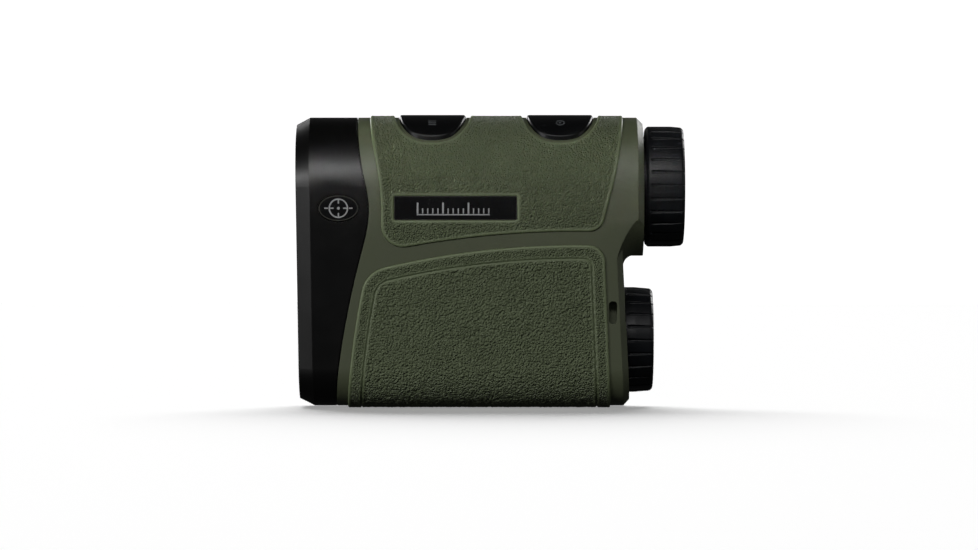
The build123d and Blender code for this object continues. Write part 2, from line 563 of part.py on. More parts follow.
def eyecup():
    """Soft inner dish that the eye looks into."""
    inner, outer = CELL_OUTER + 0.35, SLEEVE_OUTER - 0.5
    return turned([(SLEEVE_REAR_X, inner), (SLEEVE_REAR_X, outer), (EYE_X - 0.1, outer), (EYE_X - 0.1, outer - 0.3),
                   (SLEEVE_REAR_X + 0.8, inner + 0.3)])


LENS_RIM = 0.8             # flat rim that the retaining rings bear on


def lens(x_front, x_rear, radius, bulge_front, bulge_rear, height=TUBE_HEIGHT):
    """Round lens between two rim planes. A bulge is the sag of its face, outwards where it is above 0."""
    clear = radius - LENS_RIM

    def face(rim_x, bulge):
        """Curve from the axis to the rim, where bulge is measured towards +X."""
        if not bulge:
            return Line((rim_x, height), (rim_x, height + clear))
        curve = (clear ** 2 + bulge ** 2) / (2 * abs(bulge))
        half = asin(clear / curve) / 2
        sag = copysign(curve * (1 - cos(half)), bulge)
        return ThreePointArc((rim_x + bulge, height), (rim_x + bulge - sag, height + curve * sin(half)),
                             (rim_x, height + clear))

    edges = [face(x_front, -bulge_front), face(x_rear, bulge_rear),
             Polyline((x_front, height + clear), (x_front, height + radius), (x_rear, height + radius),
                      (x_rear, height + clear)),
             Line((x_front - bulge_front, height), (x_rear + bulge_rear, height))]
    return revolve(Plane.XZ * outline(edges), Axis((0, 0, height), (1, 0, 0)))


# ================================================================ battery compartment
def battery_tube():
    tube = pipe(CONTACT_X - 1.5, THREAD_START_X - 0.6, BATTERY_TUBE_OUTER, BATTERY_TUBE_INNER, BATTERY_HEIGHT)
    return tube + rod(CONTACT_X - 1.5, CONTACT_X - 0.3, BATTERY_TUBE_OUTER, BATTERY_HEIGHT)


def contact_spring():
    """Coil that presses on the cell's negative end, on its contact disc."""
    wire = 0.3
    free = BATTERY_X - CONTACT_X + 0.3 - 2 * wire - 0.35
    path = Helix(free / 2.5, free, BATTERY_RADIUS - 3.2)
    coil = sweep(Plane(path @ 0, x_dir=(1, 0, 0), z_dir=path % 0) * Circle(wire), path, is_frenet=True)
    return Pos(CONTACT_X + wire + 0.02, 0, BATTERY_HEIGHT) * Rot(0, 90, 0) * coil


def contact_disc():
    return rod(CONTACT_X - 0.3, CONTACT_X, BATTERY_RADIUS - 1.3, BATTERY_HEIGHT)


def battery_can():
    return turned([(BATTERY_X, 0), (BATTERY_X, BATTERY_RADIUS - 0.6), (BATTERY_X + 0.3, BATTERY_RADIUS - 0.2),
                   (BATTERY_X + BATTERY_LENGTH - 0.5, BATTERY_RADIUS - 0.2), (BATTERY_X + BATTERY_LENGTH, BATTERY_RADIUS - 0.7),
                   (BATTERY_X + BATTERY_LENGTH, 0)], BATTERY_HEIGHT)


def battery_sleeve():
    return pipe(BATTERY_X + 0.6, BATTERY_X + BATTERY_LENGTH - 0.6, BATTERY_RADIUS, BATTERY_RADIUS - 0.2, BATTERY_HEIGHT)


def battery_button():
    x = BATTERY_X + BATTERY_LENGTH
    return rod(x, x + 1.0, 3.0, BATTERY_HEIGHT)


def battery_cap():
    """Hard core: disc, threaded spigot and seal groove."""
    disc = rod(CAP_X, CAP_REAR_X - CAP_SKIN, CAP_CORE_RADIUS, BATTERY_HEIGHT)
    spigot = rod(THREAD_START_X + 0.2, CAP_X + 0.5, THREAD_ROOT, BATTERY_HEIGHT)
    seal_land = pipe(CAP_BORE_X - 1.7, CAP_X + 0.5, THREAD_BORE - 0.25, THREAD_ROOT - 1, BATTERY_HEIGHT)
    cap = disc + spigot + seal_land
    cap -= pipe(CAP_BORE_X - 1.3, CAP_BORE_X - 0.3, THREAD_BORE + 1, THREAD_ROOT + 0.15, BATTERY_HEIGHT)
    cap -= rod(THREAD_START_X, CAP_HOLLOW_X, CAP_HOLLOW, BATTERY_HEIGHT)
    return cap + helical_bar(THREAD_ROOT - 0.05, 0.6, 0.3, THREAD_DEPTH + 0.05, THREAD_PITCH, THREAD_ENGAGED,
                             THREAD_START_X + 0.5, BATTERY_HEIGHT)


def cap_grip():
    """Grooved rubber cup moulded over the core."""
    core_end = CAP_REAR_X - CAP_SKIN
    cup = turned([(CAP_X, CAP_CORE_RADIUS), (CAP_X, CAP_RADIUS - 0.5), (CAP_X + 0.5, CAP_RADIUS), (CAP_X + 3.0, CAP_RADIUS),
                  (CAP_REAR_X - 0.6, CAP_RADIUS - 0.35), (CAP_REAR_X, CAP_RADIUS - 0.95),
                  (CAP_REAR_X, CAP_RADIUS - 3.5), (CAP_REAR_X - 0.3, CAP_RADIUS - 3.9), (CAP_REAR_X - 0.3, 0), (core_end, 0),
                  (core_end, CAP_CORE_RADIUS)], BATTERY_HEIGHT)
    groove = finger_groove(CAP_X + 1.1, CAP_RADIUS, CAP_GROOVE_DEPTH, BATTERY_HEIGHT)
    return cup - around_x(groove, CAP_GROOVES, BATTERY_HEIGHT)


def cap_contact():
    x = BATTERY_X + BATTERY_LENGTH + 1.0 + 0.1
    disc = rod(x, x + 0.5, BATTERY_RADIUS - 0.3, BATTERY_HEIGHT)
    return disc + rod(x, x + 2.0, 3.0, BATTERY_HEIGHT)


def cap_insulator():
    x = BATTERY_X + BATTERY_LENGTH + 1.6
    return rod(x, CAP_HOLLOW_X, CAP_HOLLOW - FIT, BATTERY_HEIGHT) - rod(x - 1, x + 1.5, 3.0, BATTERY_HEIGHT)


# ================================================================ frame, front optics, sight internals
SCREW_Y = TUBE_RADIUS - 5.65
SCREW_Z = (TUBE_HEIGHT + LASER_HEIGHT) / 2 - 1.25           # between the two barrels
BEZEL_SCREWS = [(-SCREW_Y, SCREW_Z), (SCREW_Y, SCREW_Z), (-8.5, 8.0), (8.5, 8.0)]      # (y, z)
FOOT_SPOTS = [(-10.0, -5.2), (-10.0, 5.2)]
FOOT_TOP = GRIP_LIFT + WALL + 2.7
SCREW_SEAT_Z = GRIP_LIFT + WALL + 0.3
BOARD_Y = BATTERY_TUBE_OUTER + 1.45
BOARD_THICKNESS = 1.0
BOARD = (-16.5, 20.5, 8.0, 37.0)
BOARD_CORNERS = [(x, z) for x in (BOARD[0] + 2.5, BOARD[1] - 2.5) for z in (BOARD[2] + 2.5, BOARD[3] - 2.5)]


def optical_frame():
    """One casting: front plate, deck, rear ring and two feet."""
    front = body_bar(PLATE_X, PLATE_X + PLATE_THICKNESS, -WALL - SEAT)
    front -= rod(FRONT_X, 0, OBJECTIVE_CELL_RADIUS + FIT)
    front -= rod(FRONT_X, 0, LASER_BARREL_RADIUS + FIT, LASER_HEIGHT)
    for y, z in BEZEL_SCREWS:
        front -= rod(FRONT_X, 0, 1.1, z, y)
    wide = BOARD_Y + 0.4
    deck = plate(PLATE_X, RING_REAR_X, -wide, wide, DECK_Z, DECK_Z + DECK_THICKNESS)
    deck -= rod(FRONT_X, OBJECTIVE_REAR_X + 0.1, OBJECTIVE_CELL_RADIUS + FIT)
    ribs = (plate(PLATE_X + PLATE_THICKNESS, RING_REAR_X, -wide, 1.4 - wide, DECK_Z - 3, DECK_Z)
            + plate(PLATE_X + PLATE_THICKNESS, RING_REAR_X, wide - 3.0, wide - 1.6, DECK_Z - 3, DECK_Z))
    ribs -= rod(FRONT_X, 0, LASER_BARREL_RADIUS + FIT, LASER_HEIGHT)
    ring_x = RING_REAR_X - 1.8
    ring = rod(ring_x, RING_REAR_X, TUBE_RADIUS - WALL - SEAT)
    ring &= plate(ring_x - 3, RING_REAR_X + 3, -THROUGH, THROUGH, 0, TUBE_HEIGHT + 3)
    ring = ring + rod(ring_x, RING_REAR_X, 13.2) - rod(ring_x - 3, RING_REAR_X + 3, 9.0)
    bracket = plate(-6, 6, BOARD_Y - 1.2, BOARD_Y, DECK_Z, DECK_Z + 10)
    seat = plate(-12, 12, -7.6, 7.6, DECK_Z, PRISM_Z)
    feet = [post(x, y, FOOT_TOP + SEAT, DECK_Z + 1, 2.6) for x, y in FOOT_SPOTS]
    frame = front + deck + ribs + ring + seat + bracket + feet
    for y, z in BEZEL_SCREWS:
        frame -= rod(PLATE_X + PLATE_THICKNESS, PLATE_X + 8.6, 2.2, z, y)
    for x, y in FOOT_SPOTS:
        frame -= post(x, y, 0, FOOT_TOP + 8, 1.0)
    return frame


def bezel_screws():
    return [rod(PLATE_X + PLATE_THICKNESS, PLATE_X + PLATE_THICKNESS + 1.2, 1.8, z, y)
            + rod(FLANGE_X - 0.8, PLATE_X + PLATE_THICKNESS + 0.1, 0.8, z, y) for y, z in BEZEL_SCREWS]


def foot_screws():
    head = GRIP_LIFT + GRIP_SINK + FIT
    return [post(x, y, head, SCREW_SEAT_Z, 2.1) + post(x, y, SCREW_SEAT_Z - 0.1, FOOT_TOP + 7, 1.0) for x, y in FOOT_SPOTS]


def objective_cell():
    outer, inner, bore = OBJECTIVE_CELL_RADIUS, OBJECTIVE_RADIUS - 0.95, OBJECTIVE_RADIUS + FIT
    return turned([(FLANGE_X, bore), (FLANGE_X, outer + 1.4), (PLATE_X, outer + 1.4), (PLATE_X, outer),
                   (OBJECTIVE_REAR_X, outer), (OBJECTIVE_REAR_X, inner), (OBJECTIVE_SEAT_X, inner), (OBJECTIVE_SEAT_X, bore)])


def laser_barrel():
    outer, inner, bore = LASER_BARREL_RADIUS, LASER_LENS_RADIUS - 0.6, LASER_LENS_RADIUS + FIT
    return turned([(FLANGE_X, bore), (FLANGE_X, outer + 1.0), (PLATE_X, outer + 1.0), (PLATE_X, outer),
                   (LASER_REAR_X, outer), (LASER_REAR_X, 2.9), (LASER_REAR_X - 1.2, 2.9), (LASER_REAR_X - 1.2, inner),
                   (LASER_SEAT_X, inner), (LASER_SEAT_X, bore)], LASER_HEIGHT)


def laser_diode():
    x = LASER_REAR_X
    return rod(x - 4.8, x - 1.2, 2.3, LASER_HEIGHT) + rod(x - 1.2, x, 2.8, LASER_HEIGHT)


def laser_board():
    return plate(LASER_REAR_X, LASER_REAR_X + 1.0, -8, 8, LASER_HEIGHT - 9.5, LASER_HEIGHT + 9.5)


PRISM_Z = DECK_Z + 6.5     # the prisms stand on the seat at this height


def prism(points, half_width=7.3):
    """Prism with this outline seen from the side; heights are over its seat."""
    return side_cut(outline(Polyline(*[(x, PRISM_Z + z) for x, z in points], close=True)), half_width)


CLAMP_Y = 8.7              # half the width of the clamp over the prisms


def prism_clamp():
    return (plate(-4, 4, -CLAMP_Y, CLAMP_Y, DECK_Z + DECK_THICKNESS, SWITCH_BOARD_Z)
            - plate(-5, 5, 1 - CLAMP_Y, CLAMP_Y - 1, 0, SWITCH_BOARD_Z - 1.2))


def display_holder():
    holder = plate(18.7, 20.2, -9, 9, DECK_Z + DECK_THICKNESS, SWITCH_BOARD_Z)
    return holder - rod(0, 30, 6.2)


def receiver_board():
    return plate(-6, 6, BOARD_Y, BOARD_Y + 1, TUBE_HEIGHT - 6.5, TUBE_HEIGHT + 5.5)


def receiver_diode():
    seat = Plane(origin=(0, CLAMP_Y + 0.1, TUBE_HEIGHT - 0.5), z_dir=(0, 1, 0))
    return seat * Cylinder(2.4, BOARD_Y - CLAMP_Y - 0.1, align=(Align.CENTER, Align.CENTER, Align.MIN))


def main_board():
    x0, x1, z0, z1 = BOARD
    board = plate(x0, x1, BOARD_Y, BOARD_Y + BOARD_THICKNESS, z0, z1)
    for x, z in BOARD_CORNERS:
        board -= Plane(origin=(x, BOARD_Y - 1, z), z_dir=(0, 1, 0)) * Cylinder(
            1.1, 4, align=(Align.CENTER, Align.CENTER, Align.MIN))
    return board


def board_chips():
    spots = [(-9, 31, 6, 6, 0.9), (2, 31, 9, 9, 1.0), (13, 31.5, 5, 7, 0.9), (-7, 11.5, 4, 3, 0.8), (6, 10.2, 5, 2.4, 0.7)]
    return [plate(x - w / 2, x + w / 2, BOARD_Y - t, BOARD_Y, z - h / 2, z + h / 2) for x, z, w, h, t in spots]


def board_screws():
    screws = []
    for x, z in BOARD_CORNERS:
        head = Plane(origin=(x, BOARD_Y - 0.9, z), z_dir=(0, 1, 0))
        low = (Align.CENTER, Align.CENTER, Align.MIN)
        screws.append(head * Cylinder(1.7, 0.9, align=low) + head * Cylinder(0.8, 3.3, align=low))
    return screws


# ================================================================ assembly
def all_parts():
    skin = outer_skin()
    top_grip, low_grip = upper_grip(), lower_grip()
    return {
        "main_housing": main_housing(skin, [top_grip, low_grip]),
        "front_bezel": front_bezel(skin),
        "upper_grip": top_grip,
        "lower_grip": low_grip,
        "left_nameplate": nameplate(-1),
        "right_nameplate": nameplate(1),
        "left_badge": badge(-1),
        "right_badge": badge(1),
        "menu_button": button(BUTTON_XS["menu"]),
        "measure_button": button(BUTTON_XS["measure"]),
        "button_membrane": button_membrane(),
        "switch_board": switch_board(),
        "tactile_switches": tactile_switches(),
        "eyepiece_tube": eyepiece_tube(),
        "eyepiece_nut": eyepiece_nut(),
        "eyepiece_cell": eyepiece_cell(),
        "eyepiece_seal": o_ring(CELL_X + 2.45, CELL_OUTER - 0.45, 0.44, TUBE_HEIGHT),
        "cam_pin": cam_pin(),
        "field_lens": lens(CELL_X + 2.2, CELL_X + 6.2, LENS_RADIUS, 0.6, 1.2),
        "eye_lens": lens(CELL_X + 10.6, CELL_X + 13.0, LENS_RADIUS, 1.3, 0.0),
        "lens_spacer": pipe(CELL_X + 6.2, CELL_X + 10.6, LENS_RADIUS, LENS_RADIUS - 0.75),
        "eye_lens_ring": pipe(CELL_X + 13.0, CELL_X + 15.2, LENS_RADIUS, LENS_RADIUS - 0.85),
        "dioptre_sleeve": dioptre_sleeve(),
        "stop_ring": stop_ring(),
        "dioptre_ring": dioptre_ring(),
        "eyecup": eyecup(),
        "battery_tube": battery_tube(),
        "contact_disc": contact_disc(),
        "contact_spring": contact_spring(),
        "battery_can": battery_can(),
        "battery_sleeve": battery_sleeve(),
        "battery_button": battery_button(),
        "battery_cap": battery_cap(),
        "cap_grip": cap_grip(),
        "cap_seal": o_ring(CAP_BORE_X - 0.8, THREAD_ROOT + 0.55, 0.4, BATTERY_HEIGHT),
        "cap_contact": cap_contact(),
        "cap_insulator": cap_insulator(),
        "optical_frame": optical_frame(),
        "bezel_screws": bezel_screws(),
        "foot_screws": foot_screws(),
        "objective_cell": objective_cell(),
        "objective_lens": lens(LENS_FRONT_X, OBJECTIVE_SEAT_X, OBJECTIVE_RADIUS, 1.1, -0.4),
        "objective_ring": pipe(FLANGE_X + 0.1, LENS_FRONT_X, OBJECTIVE_RADIUS, OBJECTIVE_RADIUS - 0.6),
        "laser_barrel": laser_barrel(),
        "laser_lens": lens(LENS_FRONT_X, LASER_SEAT_X, LASER_LENS_RADIUS, 1.0, 0.0, LASER_HEIGHT),
        "laser_lens_ring": pipe(FLANGE_X + 0.1, LENS_FRONT_X, LASER_LENS_RADIUS, LASER_LENS_RADIUS - 0.6, LASER_HEIGHT),
        "laser_diode": laser_diode(),
        "laser_board": laser_board(),
        "pentaprism": prism([(-11.5, 0), (-11.5, 15.5), (-6, 15.5), (2.2, 7.3), (-4.9, 0)]),
        "roof_prism": prism([(-4.5, 0), (2.7, 7.2), (-5.2, 15.3), (6, 15.8), (11.5, 10.5), (11.5, 0)]),
        "prism_clamp": prism_clamp(),
        "display_panel": plate(17.5, 18.7, -7, 7, TUBE_HEIGHT - 8, TUBE_HEIGHT + 7),
        "display_holder": display_holder(),
        "receiver_board": receiver_board(),
        "receiver_diode": receiver_diode(),
        "main_board": main_board(),
        "board_chips": board_chips(),
        "board_screws": board_screws(),
    }


os.makedirs("parts", exist_ok=True)
for name, shape in all_parts().items():
    solids = shape if isinstance(shape, list) else shape.solids()
    solids = [solid for piece in solids for solid in piece.solids()]
    export_step(Compound(children=solids) if len(solids) > 1 else solids[0], f"parts/{name}.step")
    print(name, len(solids), round(sum(s.volume for s in solids), 1))
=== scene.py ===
"""Handheld laser rangefinder: fine shapes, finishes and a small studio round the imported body.

The body runs along X with the eyepiece at +X, and stands on Z = 0. Sizes are in millimetres until a
mesh is made, and in metres from there on.
"""

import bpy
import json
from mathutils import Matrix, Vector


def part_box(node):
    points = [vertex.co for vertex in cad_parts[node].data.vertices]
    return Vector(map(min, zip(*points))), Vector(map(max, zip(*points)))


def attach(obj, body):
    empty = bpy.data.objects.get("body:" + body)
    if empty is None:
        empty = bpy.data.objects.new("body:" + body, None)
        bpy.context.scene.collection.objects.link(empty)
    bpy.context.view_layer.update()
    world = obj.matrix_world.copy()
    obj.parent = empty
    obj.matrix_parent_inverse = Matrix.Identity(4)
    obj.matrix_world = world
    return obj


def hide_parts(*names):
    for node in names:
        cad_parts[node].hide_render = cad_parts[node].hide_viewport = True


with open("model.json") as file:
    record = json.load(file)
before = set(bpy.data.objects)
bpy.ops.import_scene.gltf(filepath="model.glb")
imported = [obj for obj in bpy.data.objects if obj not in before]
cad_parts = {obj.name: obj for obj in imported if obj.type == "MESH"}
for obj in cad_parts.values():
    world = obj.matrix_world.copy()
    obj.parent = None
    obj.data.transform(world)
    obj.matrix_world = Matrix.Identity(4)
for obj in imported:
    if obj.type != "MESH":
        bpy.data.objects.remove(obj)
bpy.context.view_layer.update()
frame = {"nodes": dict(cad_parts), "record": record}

import json
from math import atan2, asin, cos, hypot, pi, radians, sin, tau

import bmesh
import bpy
import numpy as np
from bpy.props import FloatProperty, FloatVectorProperty, IntProperty, PointerProperty
from mathutils import Vector
from mathutils.geometry import delaunay_2d_cdt
from mathutils.kdtree import KDTree

bl_info = {
    "name": "Laser rangefinder finishes",
    "version": (1, 0, 0),
    "blender": (4, 5, 0),
    "location": "3D View > Sidebar > Rangefinder",
    "description": "Grip panels, finger rings, trim, finishes and studio for a packed laser rangefinder",
    "category": "Object",
}

MM = 0.001

# ---------------- section of the body, as it is in the frame
TUBE_R = (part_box("main_housing")[1].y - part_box("main_housing")[0].y) / 2 / MM
TUBE_Z = sum(corner.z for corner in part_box("dioptre_ring")) / 2 / MM
CAP_Z = sum(corner.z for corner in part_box("cap_grip")) / 2 / MM
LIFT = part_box("main_housing")[0].z / MM      # the grips stand this far proud
CORNER_R = 9.5                               # rounding of the two lower edges
CORNER_Y = 6.35                              # half the distance between their centres
CORNER_Z = LIFT + CORNER_R
SPAN = hypot(CORNER_Y, TUBE_Z - CORNER_Z)
DRAFT = asin((TUBE_R - CORNER_R) / SPAN) - atan2(CORNER_Y, TUBE_Z - CORNER_Z)
TURN = pi / 2 + DRAFT                        # from straight up to the flank's normal
S1 = (TUBE_R + LIFT) * TURN                  # distance along the skin, from the top: to the flank
S2 = S1 + (SPAN ** 2 - (TUBE_R - CORNER_R) ** 2) ** 0.5     # to the lower rounding
S3 = S2 + (CORNER_R + LIFT) * (pi - TURN)    # to the flat base
S4 = S3 + CORNER_Y                           # to the middle of the base
GRIP_DEPTH = 0.7                             # the panels are let in this far
EDGE_RINGS = (0.1, 0.24)                     # lines of points along a panel's rounded edge, this far in
GROOVE_DEPTH = 0.35
GROOVE_WALL = 0.13                           # width of the slope at each side of the groove
GROOVE_LIP = 0.2                             # rounding outside the groove
OUTLINE_STEP = 0.08                          # distances to an outline are taken from points this close
TIE = 1e-6                                   # points closer than this are one point


def linear(code):
    """Linear RGBA of an sRGB hex colour."""
    parts = [int(code[i:i + 2], 16) / 255 for i in (0, 2, 4)]
    return tuple(c / 12.92 if c <= 0.04045 else ((c + 0.055) / 1.055) ** 2.4 for c in parts) + (1.0,)


def rgba(colour, share=1.0):
    """Linear RGBA of an sRGB hex colour or of linear RGB values, each value times a share."""
    parts = linear(colour)[:3] if isinstance(colour, str) else colour
    return tuple(c * share for c in parts) + (1.0,)


def plug(tree, node, inputs):
    """Gives a node's inputs a value each, or a link from a socket or from a node's first output."""
    for name, value in inputs.items():
        if isinstance(value, bpy.types.Node):
            value = value.outputs[0]
        if isinstance(value, bpy.types.NodeSocket):
            tree.links.new(value, node.inputs[name])
        else:
            node.inputs[name].default_value = value


def add(tree, kind, inputs=None, **settings):
    """Adds a node with its settings and its inputs."""
    made = tree.nodes.new(kind)
    for name, value in settings.items():
        setattr(made, name, value)
    plug(tree, made, inputs or {})
    return made


# ---------------- settings
def length(name, text, default, low=0.0, high=10.0):
    """A size in metres, given here in millimetres."""
    return FloatProperty(name=name, description=text, default=default * MM, min=low * MM, max=high * MM,
                         subtype="DISTANCE", unit="LENGTH", precision=5)


def tint(name, text, code):
    return FloatVectorProperty(name=name, description=text, default=linear(code)[:3], size=3, min=0, max=1,
                               subtype="COLOR")


def power(name, text, default):
    return FloatProperty(name=name, description=text, default=default, min=0, subtype="POWER")


class RangefinderGrips(bpy.types.PropertyGroup):
    cell: length("Mesh cell", "Spacing of the points that carry the grain", 0.29, 0.1, 5)
    edge_round: length("Edge rounding", "Radius of the panels' edges", 0.42, 0.05, 0.6)
    fine_grain: length("Fine grain", "Size of a pebble on the upper panel and in the border", 0.62, 0.2, 5)
    coarse_grain: length("Coarse grain", "Size of a pebble inside the groove", 0.8, 0.2, 5)
    fine_relief: length("Fine relief", "Depth between the fine pebbles", 0.1, 0, 0.4)
    coarse_relief: length("Coarse relief", "Depth between the coarse pebbles", 0.19, 0, 0.4)
    rubber: tint("Rubber", "Colour of the grip rubber", "646E51")
    seed: IntProperty(name="Seed", description="Shifts the grain's pattern", default=7, min=0)


class RangefinderRings(bpy.types.PropertyGroup):
    ring_grooves: IntProperty(name="Ring grooves", description="Grooves round the dioptre ring", default=28, min=8)
    cap_grooves: IntProperty(name="Cap grooves", description="Grooves round the battery cap", default=24, min=8)
    groove_depth: length("Groove depth", "Depth of a groove at its front end", 0.55, 0.1, 1)
    groove_width: length("Groove width", "Width of a groove at its front end", 0.95, 0.2, 2)
    rubber: tint("Rubber", "Colour of the ring rubber", "0F1114")


class RangefinderTrim(bpy.types.PropertyGroup):
    rim: length("Rim width", "Width of the raised rims", 0.16, 0.05, 1)
    ticks: IntProperty(name="Scale ticks", description="Ticks of the nameplate's scale", default=15, min=3)
    tick_width: length("Tick width", "Width of one tick", 0.42, 0.1, 1)
    legend: tint("Legend", "Colour of the printed marks", "A3A5A6")


class RangefinderStudio(bpy.types.PropertyGroup):
    key: power("Key light", "Power of the main light", 2.15)
    side: power("Side light", "Power of the light on the front bevel", 2.2)
    strip: power("Strip light", "Power of the narrow light on the sight tube", 0.007)
    right: power("Right light", "Power of the light on the rear bevels", 0.3)
    back: power("Far-side light", "Power of each light on the far side", 4.0)
    ambient: FloatProperty(name="Ambient", description="Strength of the sky", default=0.02, min=0)


# ---------------- mesh helpers
def plain_object(name, data):
    made = bpy.data.objects.new(name, data)
    bpy.context.scene.collection.objects.link(made)
    return made


def from_mm(name, points, faces, smooth=True):
    """Mesh object from points in millimetres."""
    mesh = bpy.data.meshes.new(name)
    mesh.from_pydata([tuple(p) for p in np.asarray(points, float) * MM], [], [tuple(int(i) for i in f) for f in faces])
    mesh.validate()
    if smooth:
        mesh.shade_smooth()
    return plain_object(name, mesh)


def baked(made, tree, values):
    """Runs a Geometry Nodes tree over an object, and leaves its result as a plain mesh."""
    modifier = made.modifiers.new(tree.name, "NODES")
    modifier.node_group = tree
    for socket in tree.interface.items_tree:
        if socket.item_type == "SOCKET" and socket.in_out == "INPUT" and socket.name in values:
            modifier[socket.identifier] = values[socket.name]
    bpy.context.view_layer.update()
    ready = made.evaluated_get(bpy.context.evaluated_depsgraph_get())
    mesh = bpy.data.meshes.new_from_object(ready)
    made.modifiers.remove(modifier)
    made.data = mesh
    return made


def new_tree(name, inputs):
    """Empty Geometry Nodes tree with named inputs."""
    tree = bpy.data.node_groups.new(name, "GeometryNodeTree")
    tree.interface.new_socket("Geometry", in_out="INPUT", socket_type="NodeSocketGeometry")
    for title, kind, default in inputs:
        socket = tree.interface.new_socket(title, in_out="INPUT", socket_type=kind)
        if default is not None:
            socket.default_value = default
    tree.interface.new_socket("Geometry", in_out="OUTPUT", socket_type="NodeSocketGeometry")
    return tree, add(tree, "NodeGroupInput"), add(tree, "NodeGroupOutput")


# ---------------- the body's skin, laid flat
def lay_flat(y, z, low):
    """Distance along the skin and height over it. low measures from the middle of the base, not the top."""
    a = np.abs(y)
    ny, nz = sin(TURN), cos(TURN)
    along = (a - TUBE_R * ny) * nz - (z - TUBE_Z - TUBE_R * nz) * ny
    turn_top = np.arctan2(a, z - TUBE_Z)
    turn_low = np.arctan2(a - CORNER_Y, z - CORNER_Z)
    flank = S2 - S1
    s = np.where(along < 0, turn_top * (TUBE_R + LIFT), S1 + along)
    up = np.where(along < 0, np.hypot(a, z - TUBE_Z) - TUBE_R,
                  (a - TUBE_R * ny) * ny + (z - TUBE_Z - TUBE_R * nz) * nz)
    rounding = (along > flank) & (a > CORNER_Y)
    s = np.where(rounding, S2 + (turn_low - TURN) * (CORNER_R + LIFT), s)
    up = np.where(rounding, np.hypot(a - CORNER_Y, z - CORNER_Z) - CORNER_R, up)
    base = (along > flank) & (a <= CORNER_Y)
    s = np.where(base, S3 + CORNER_Y - a, s)
    up = np.where(base, CORNER_Z - z - CORNER_R, up)
    side = np.where(y > 0, -1.0, 1.0)
    return side * (S4 - s if low else s), up


def roll_up(x, s, up, low):
    """Points in space, and the skin's normals there."""
    side = np.where(s < 0, -1.0, 1.0)
    a = S4 - np.abs(s) if low else np.abs(s)
    turn = np.where(a < S1, a / (TUBE_R + LIFT), np.where(a < S2, TURN, TURN + (a - S2) / (CORNER_R + LIFT)))
    turn = np.minimum(turn, pi)
    ny, nz = np.sin(turn), np.cos(turn)
    centre = a >= S2
    y = np.where(centre, CORNER_Y + (CORNER_R + up) * ny, (TUBE_R + up) * ny)
    z = np.where(centre, CORNER_Z + (CORNER_R + up) * nz, TUBE_Z + (TUBE_R + up) * nz)
    slide = np.where((a >= S1) & (a < S2), a - S1, 0.0)
    y, z = y + slide * nz, z - slide * ny
    y = np.where(a > S3, y - (a - S3), y)
    return np.stack([x, -side * y, z], 1), np.stack([0 * x, -side * ny, nz], 1)


def skin_outlines(node, low):
    """Closed outlines, laid flat, of the parts of a CAD panel that lie at the full height of the grips."""
    work = bmesh.new()
    work.from_mesh(frame["nodes"][node].data)
    bmesh.ops.remove_doubles(work, verts=work.verts, dist=2e-6)
    work.verts.ensure_lookup_table()
    p = np.array([v.co for v in work.verts]) / MM
    s, up = lay_flat(p[:, 1], p[:, 2], low)
    ends = {}
    for face in work.faces:
        ids = [v.index for v in face.verts]
        x, y, z = p[ids].mean(0)
        normal = roll_up(np.array([x]), lay_flat(np.array([y]), np.array([z]), low)[0], np.array([LIFT]), low)[1][0]
        face.tag = min(up[i] for i in ids) > LIFT - 0.06 and face.normal.dot(Vector(normal)) > 0.8
    for edge in work.edges:
        if sum(face.tag for face in edge.link_faces) == 1:
            for a, b in (edge.verts, reversed(edge.verts)):
                ends.setdefault(a.index, []).append(b.index)
    work.free()
    loops = []
    while ends:
        start = at = next(iter(ends))
        loop, last = [], None
        while at in ends:
            loop.append((p[at, 0], s[at]))
            onward = [i for i in ends.pop(at) if i != last]
            last, at = at, onward[0] if onward else start
        loops.append(np.array(loop))
    return sorted((loop for loop in loops if len(loop) > 3), key=lambda loop: -abs(area(loop)))


def area(loop):
    x, y = loop.T
    return float(np.sum(x * np.roll(y, -1) - np.roll(x, -1) * y)) / 2


def evenly(loop, step):
    """The same outline with points about step apart."""
    out = []
    for a, b in zip(loop, np.roll(loop, -1, 0)):
        parts = max(1, round(float(np.hypot(*(b - a))) / step))
        out += [a + (b - a) * k / parts for k in range(parts)]
    kept = [out[0]]
    for p in out[1:]:
        if np.hypot(*(p - kept[-1])) > 0.4 * step:
            kept.append(p)
    return np.array(kept)


def inside(points, loops):
    """Even-odd test of flat points against closed outlines."""
    hit = np.zeros(len(points), bool)
    for loop in loops:
        a, b = loop, np.roll(loop, -1, 0)
        for begin in range(0, len(points), 4000):
            x, y = points[begin:begin + 4000].T[:, :, None]
            spans = (a[:, 1] > y) != (b[:, 1] > y)
            cut = a[:, 0] + (y - a[:, 1]) * (b[:, 0] - a[:, 0]) / np.where(a[:, 1] == b[:, 1], 1, b[:, 1] - a[:, 1])
            hit[begin:begin + 4000] ^= (np.sum(spans & (x < cut), 1) % 2).astype(bool)
    return hit


def moved_in(loop, distance, region):
    """Outline moved by distance towards the inside of a region."""
    tangent = np.roll(loop, -1, 0) - np.roll(loop, 1, 0)
    normal = np.stack([-tangent[:, 1], tangent[:, 0]], 1) / np.maximum(np.hypot(*tangent.T), 1e-9)[:, None]
    trial = inside(loop + normal * 0.1, region)
    return loop + normal * distance * (1 if trial.mean() > 0.5 else -1)


def nearest(points, targets):
    tree = KDTree(len(targets))
    for i, p in enumerate(targets):
        tree.insert((p[0], p[1], 0), i)
    tree.balance()
    return np.array([tree.find((p[0], p[1], 0))[2] for p in points])


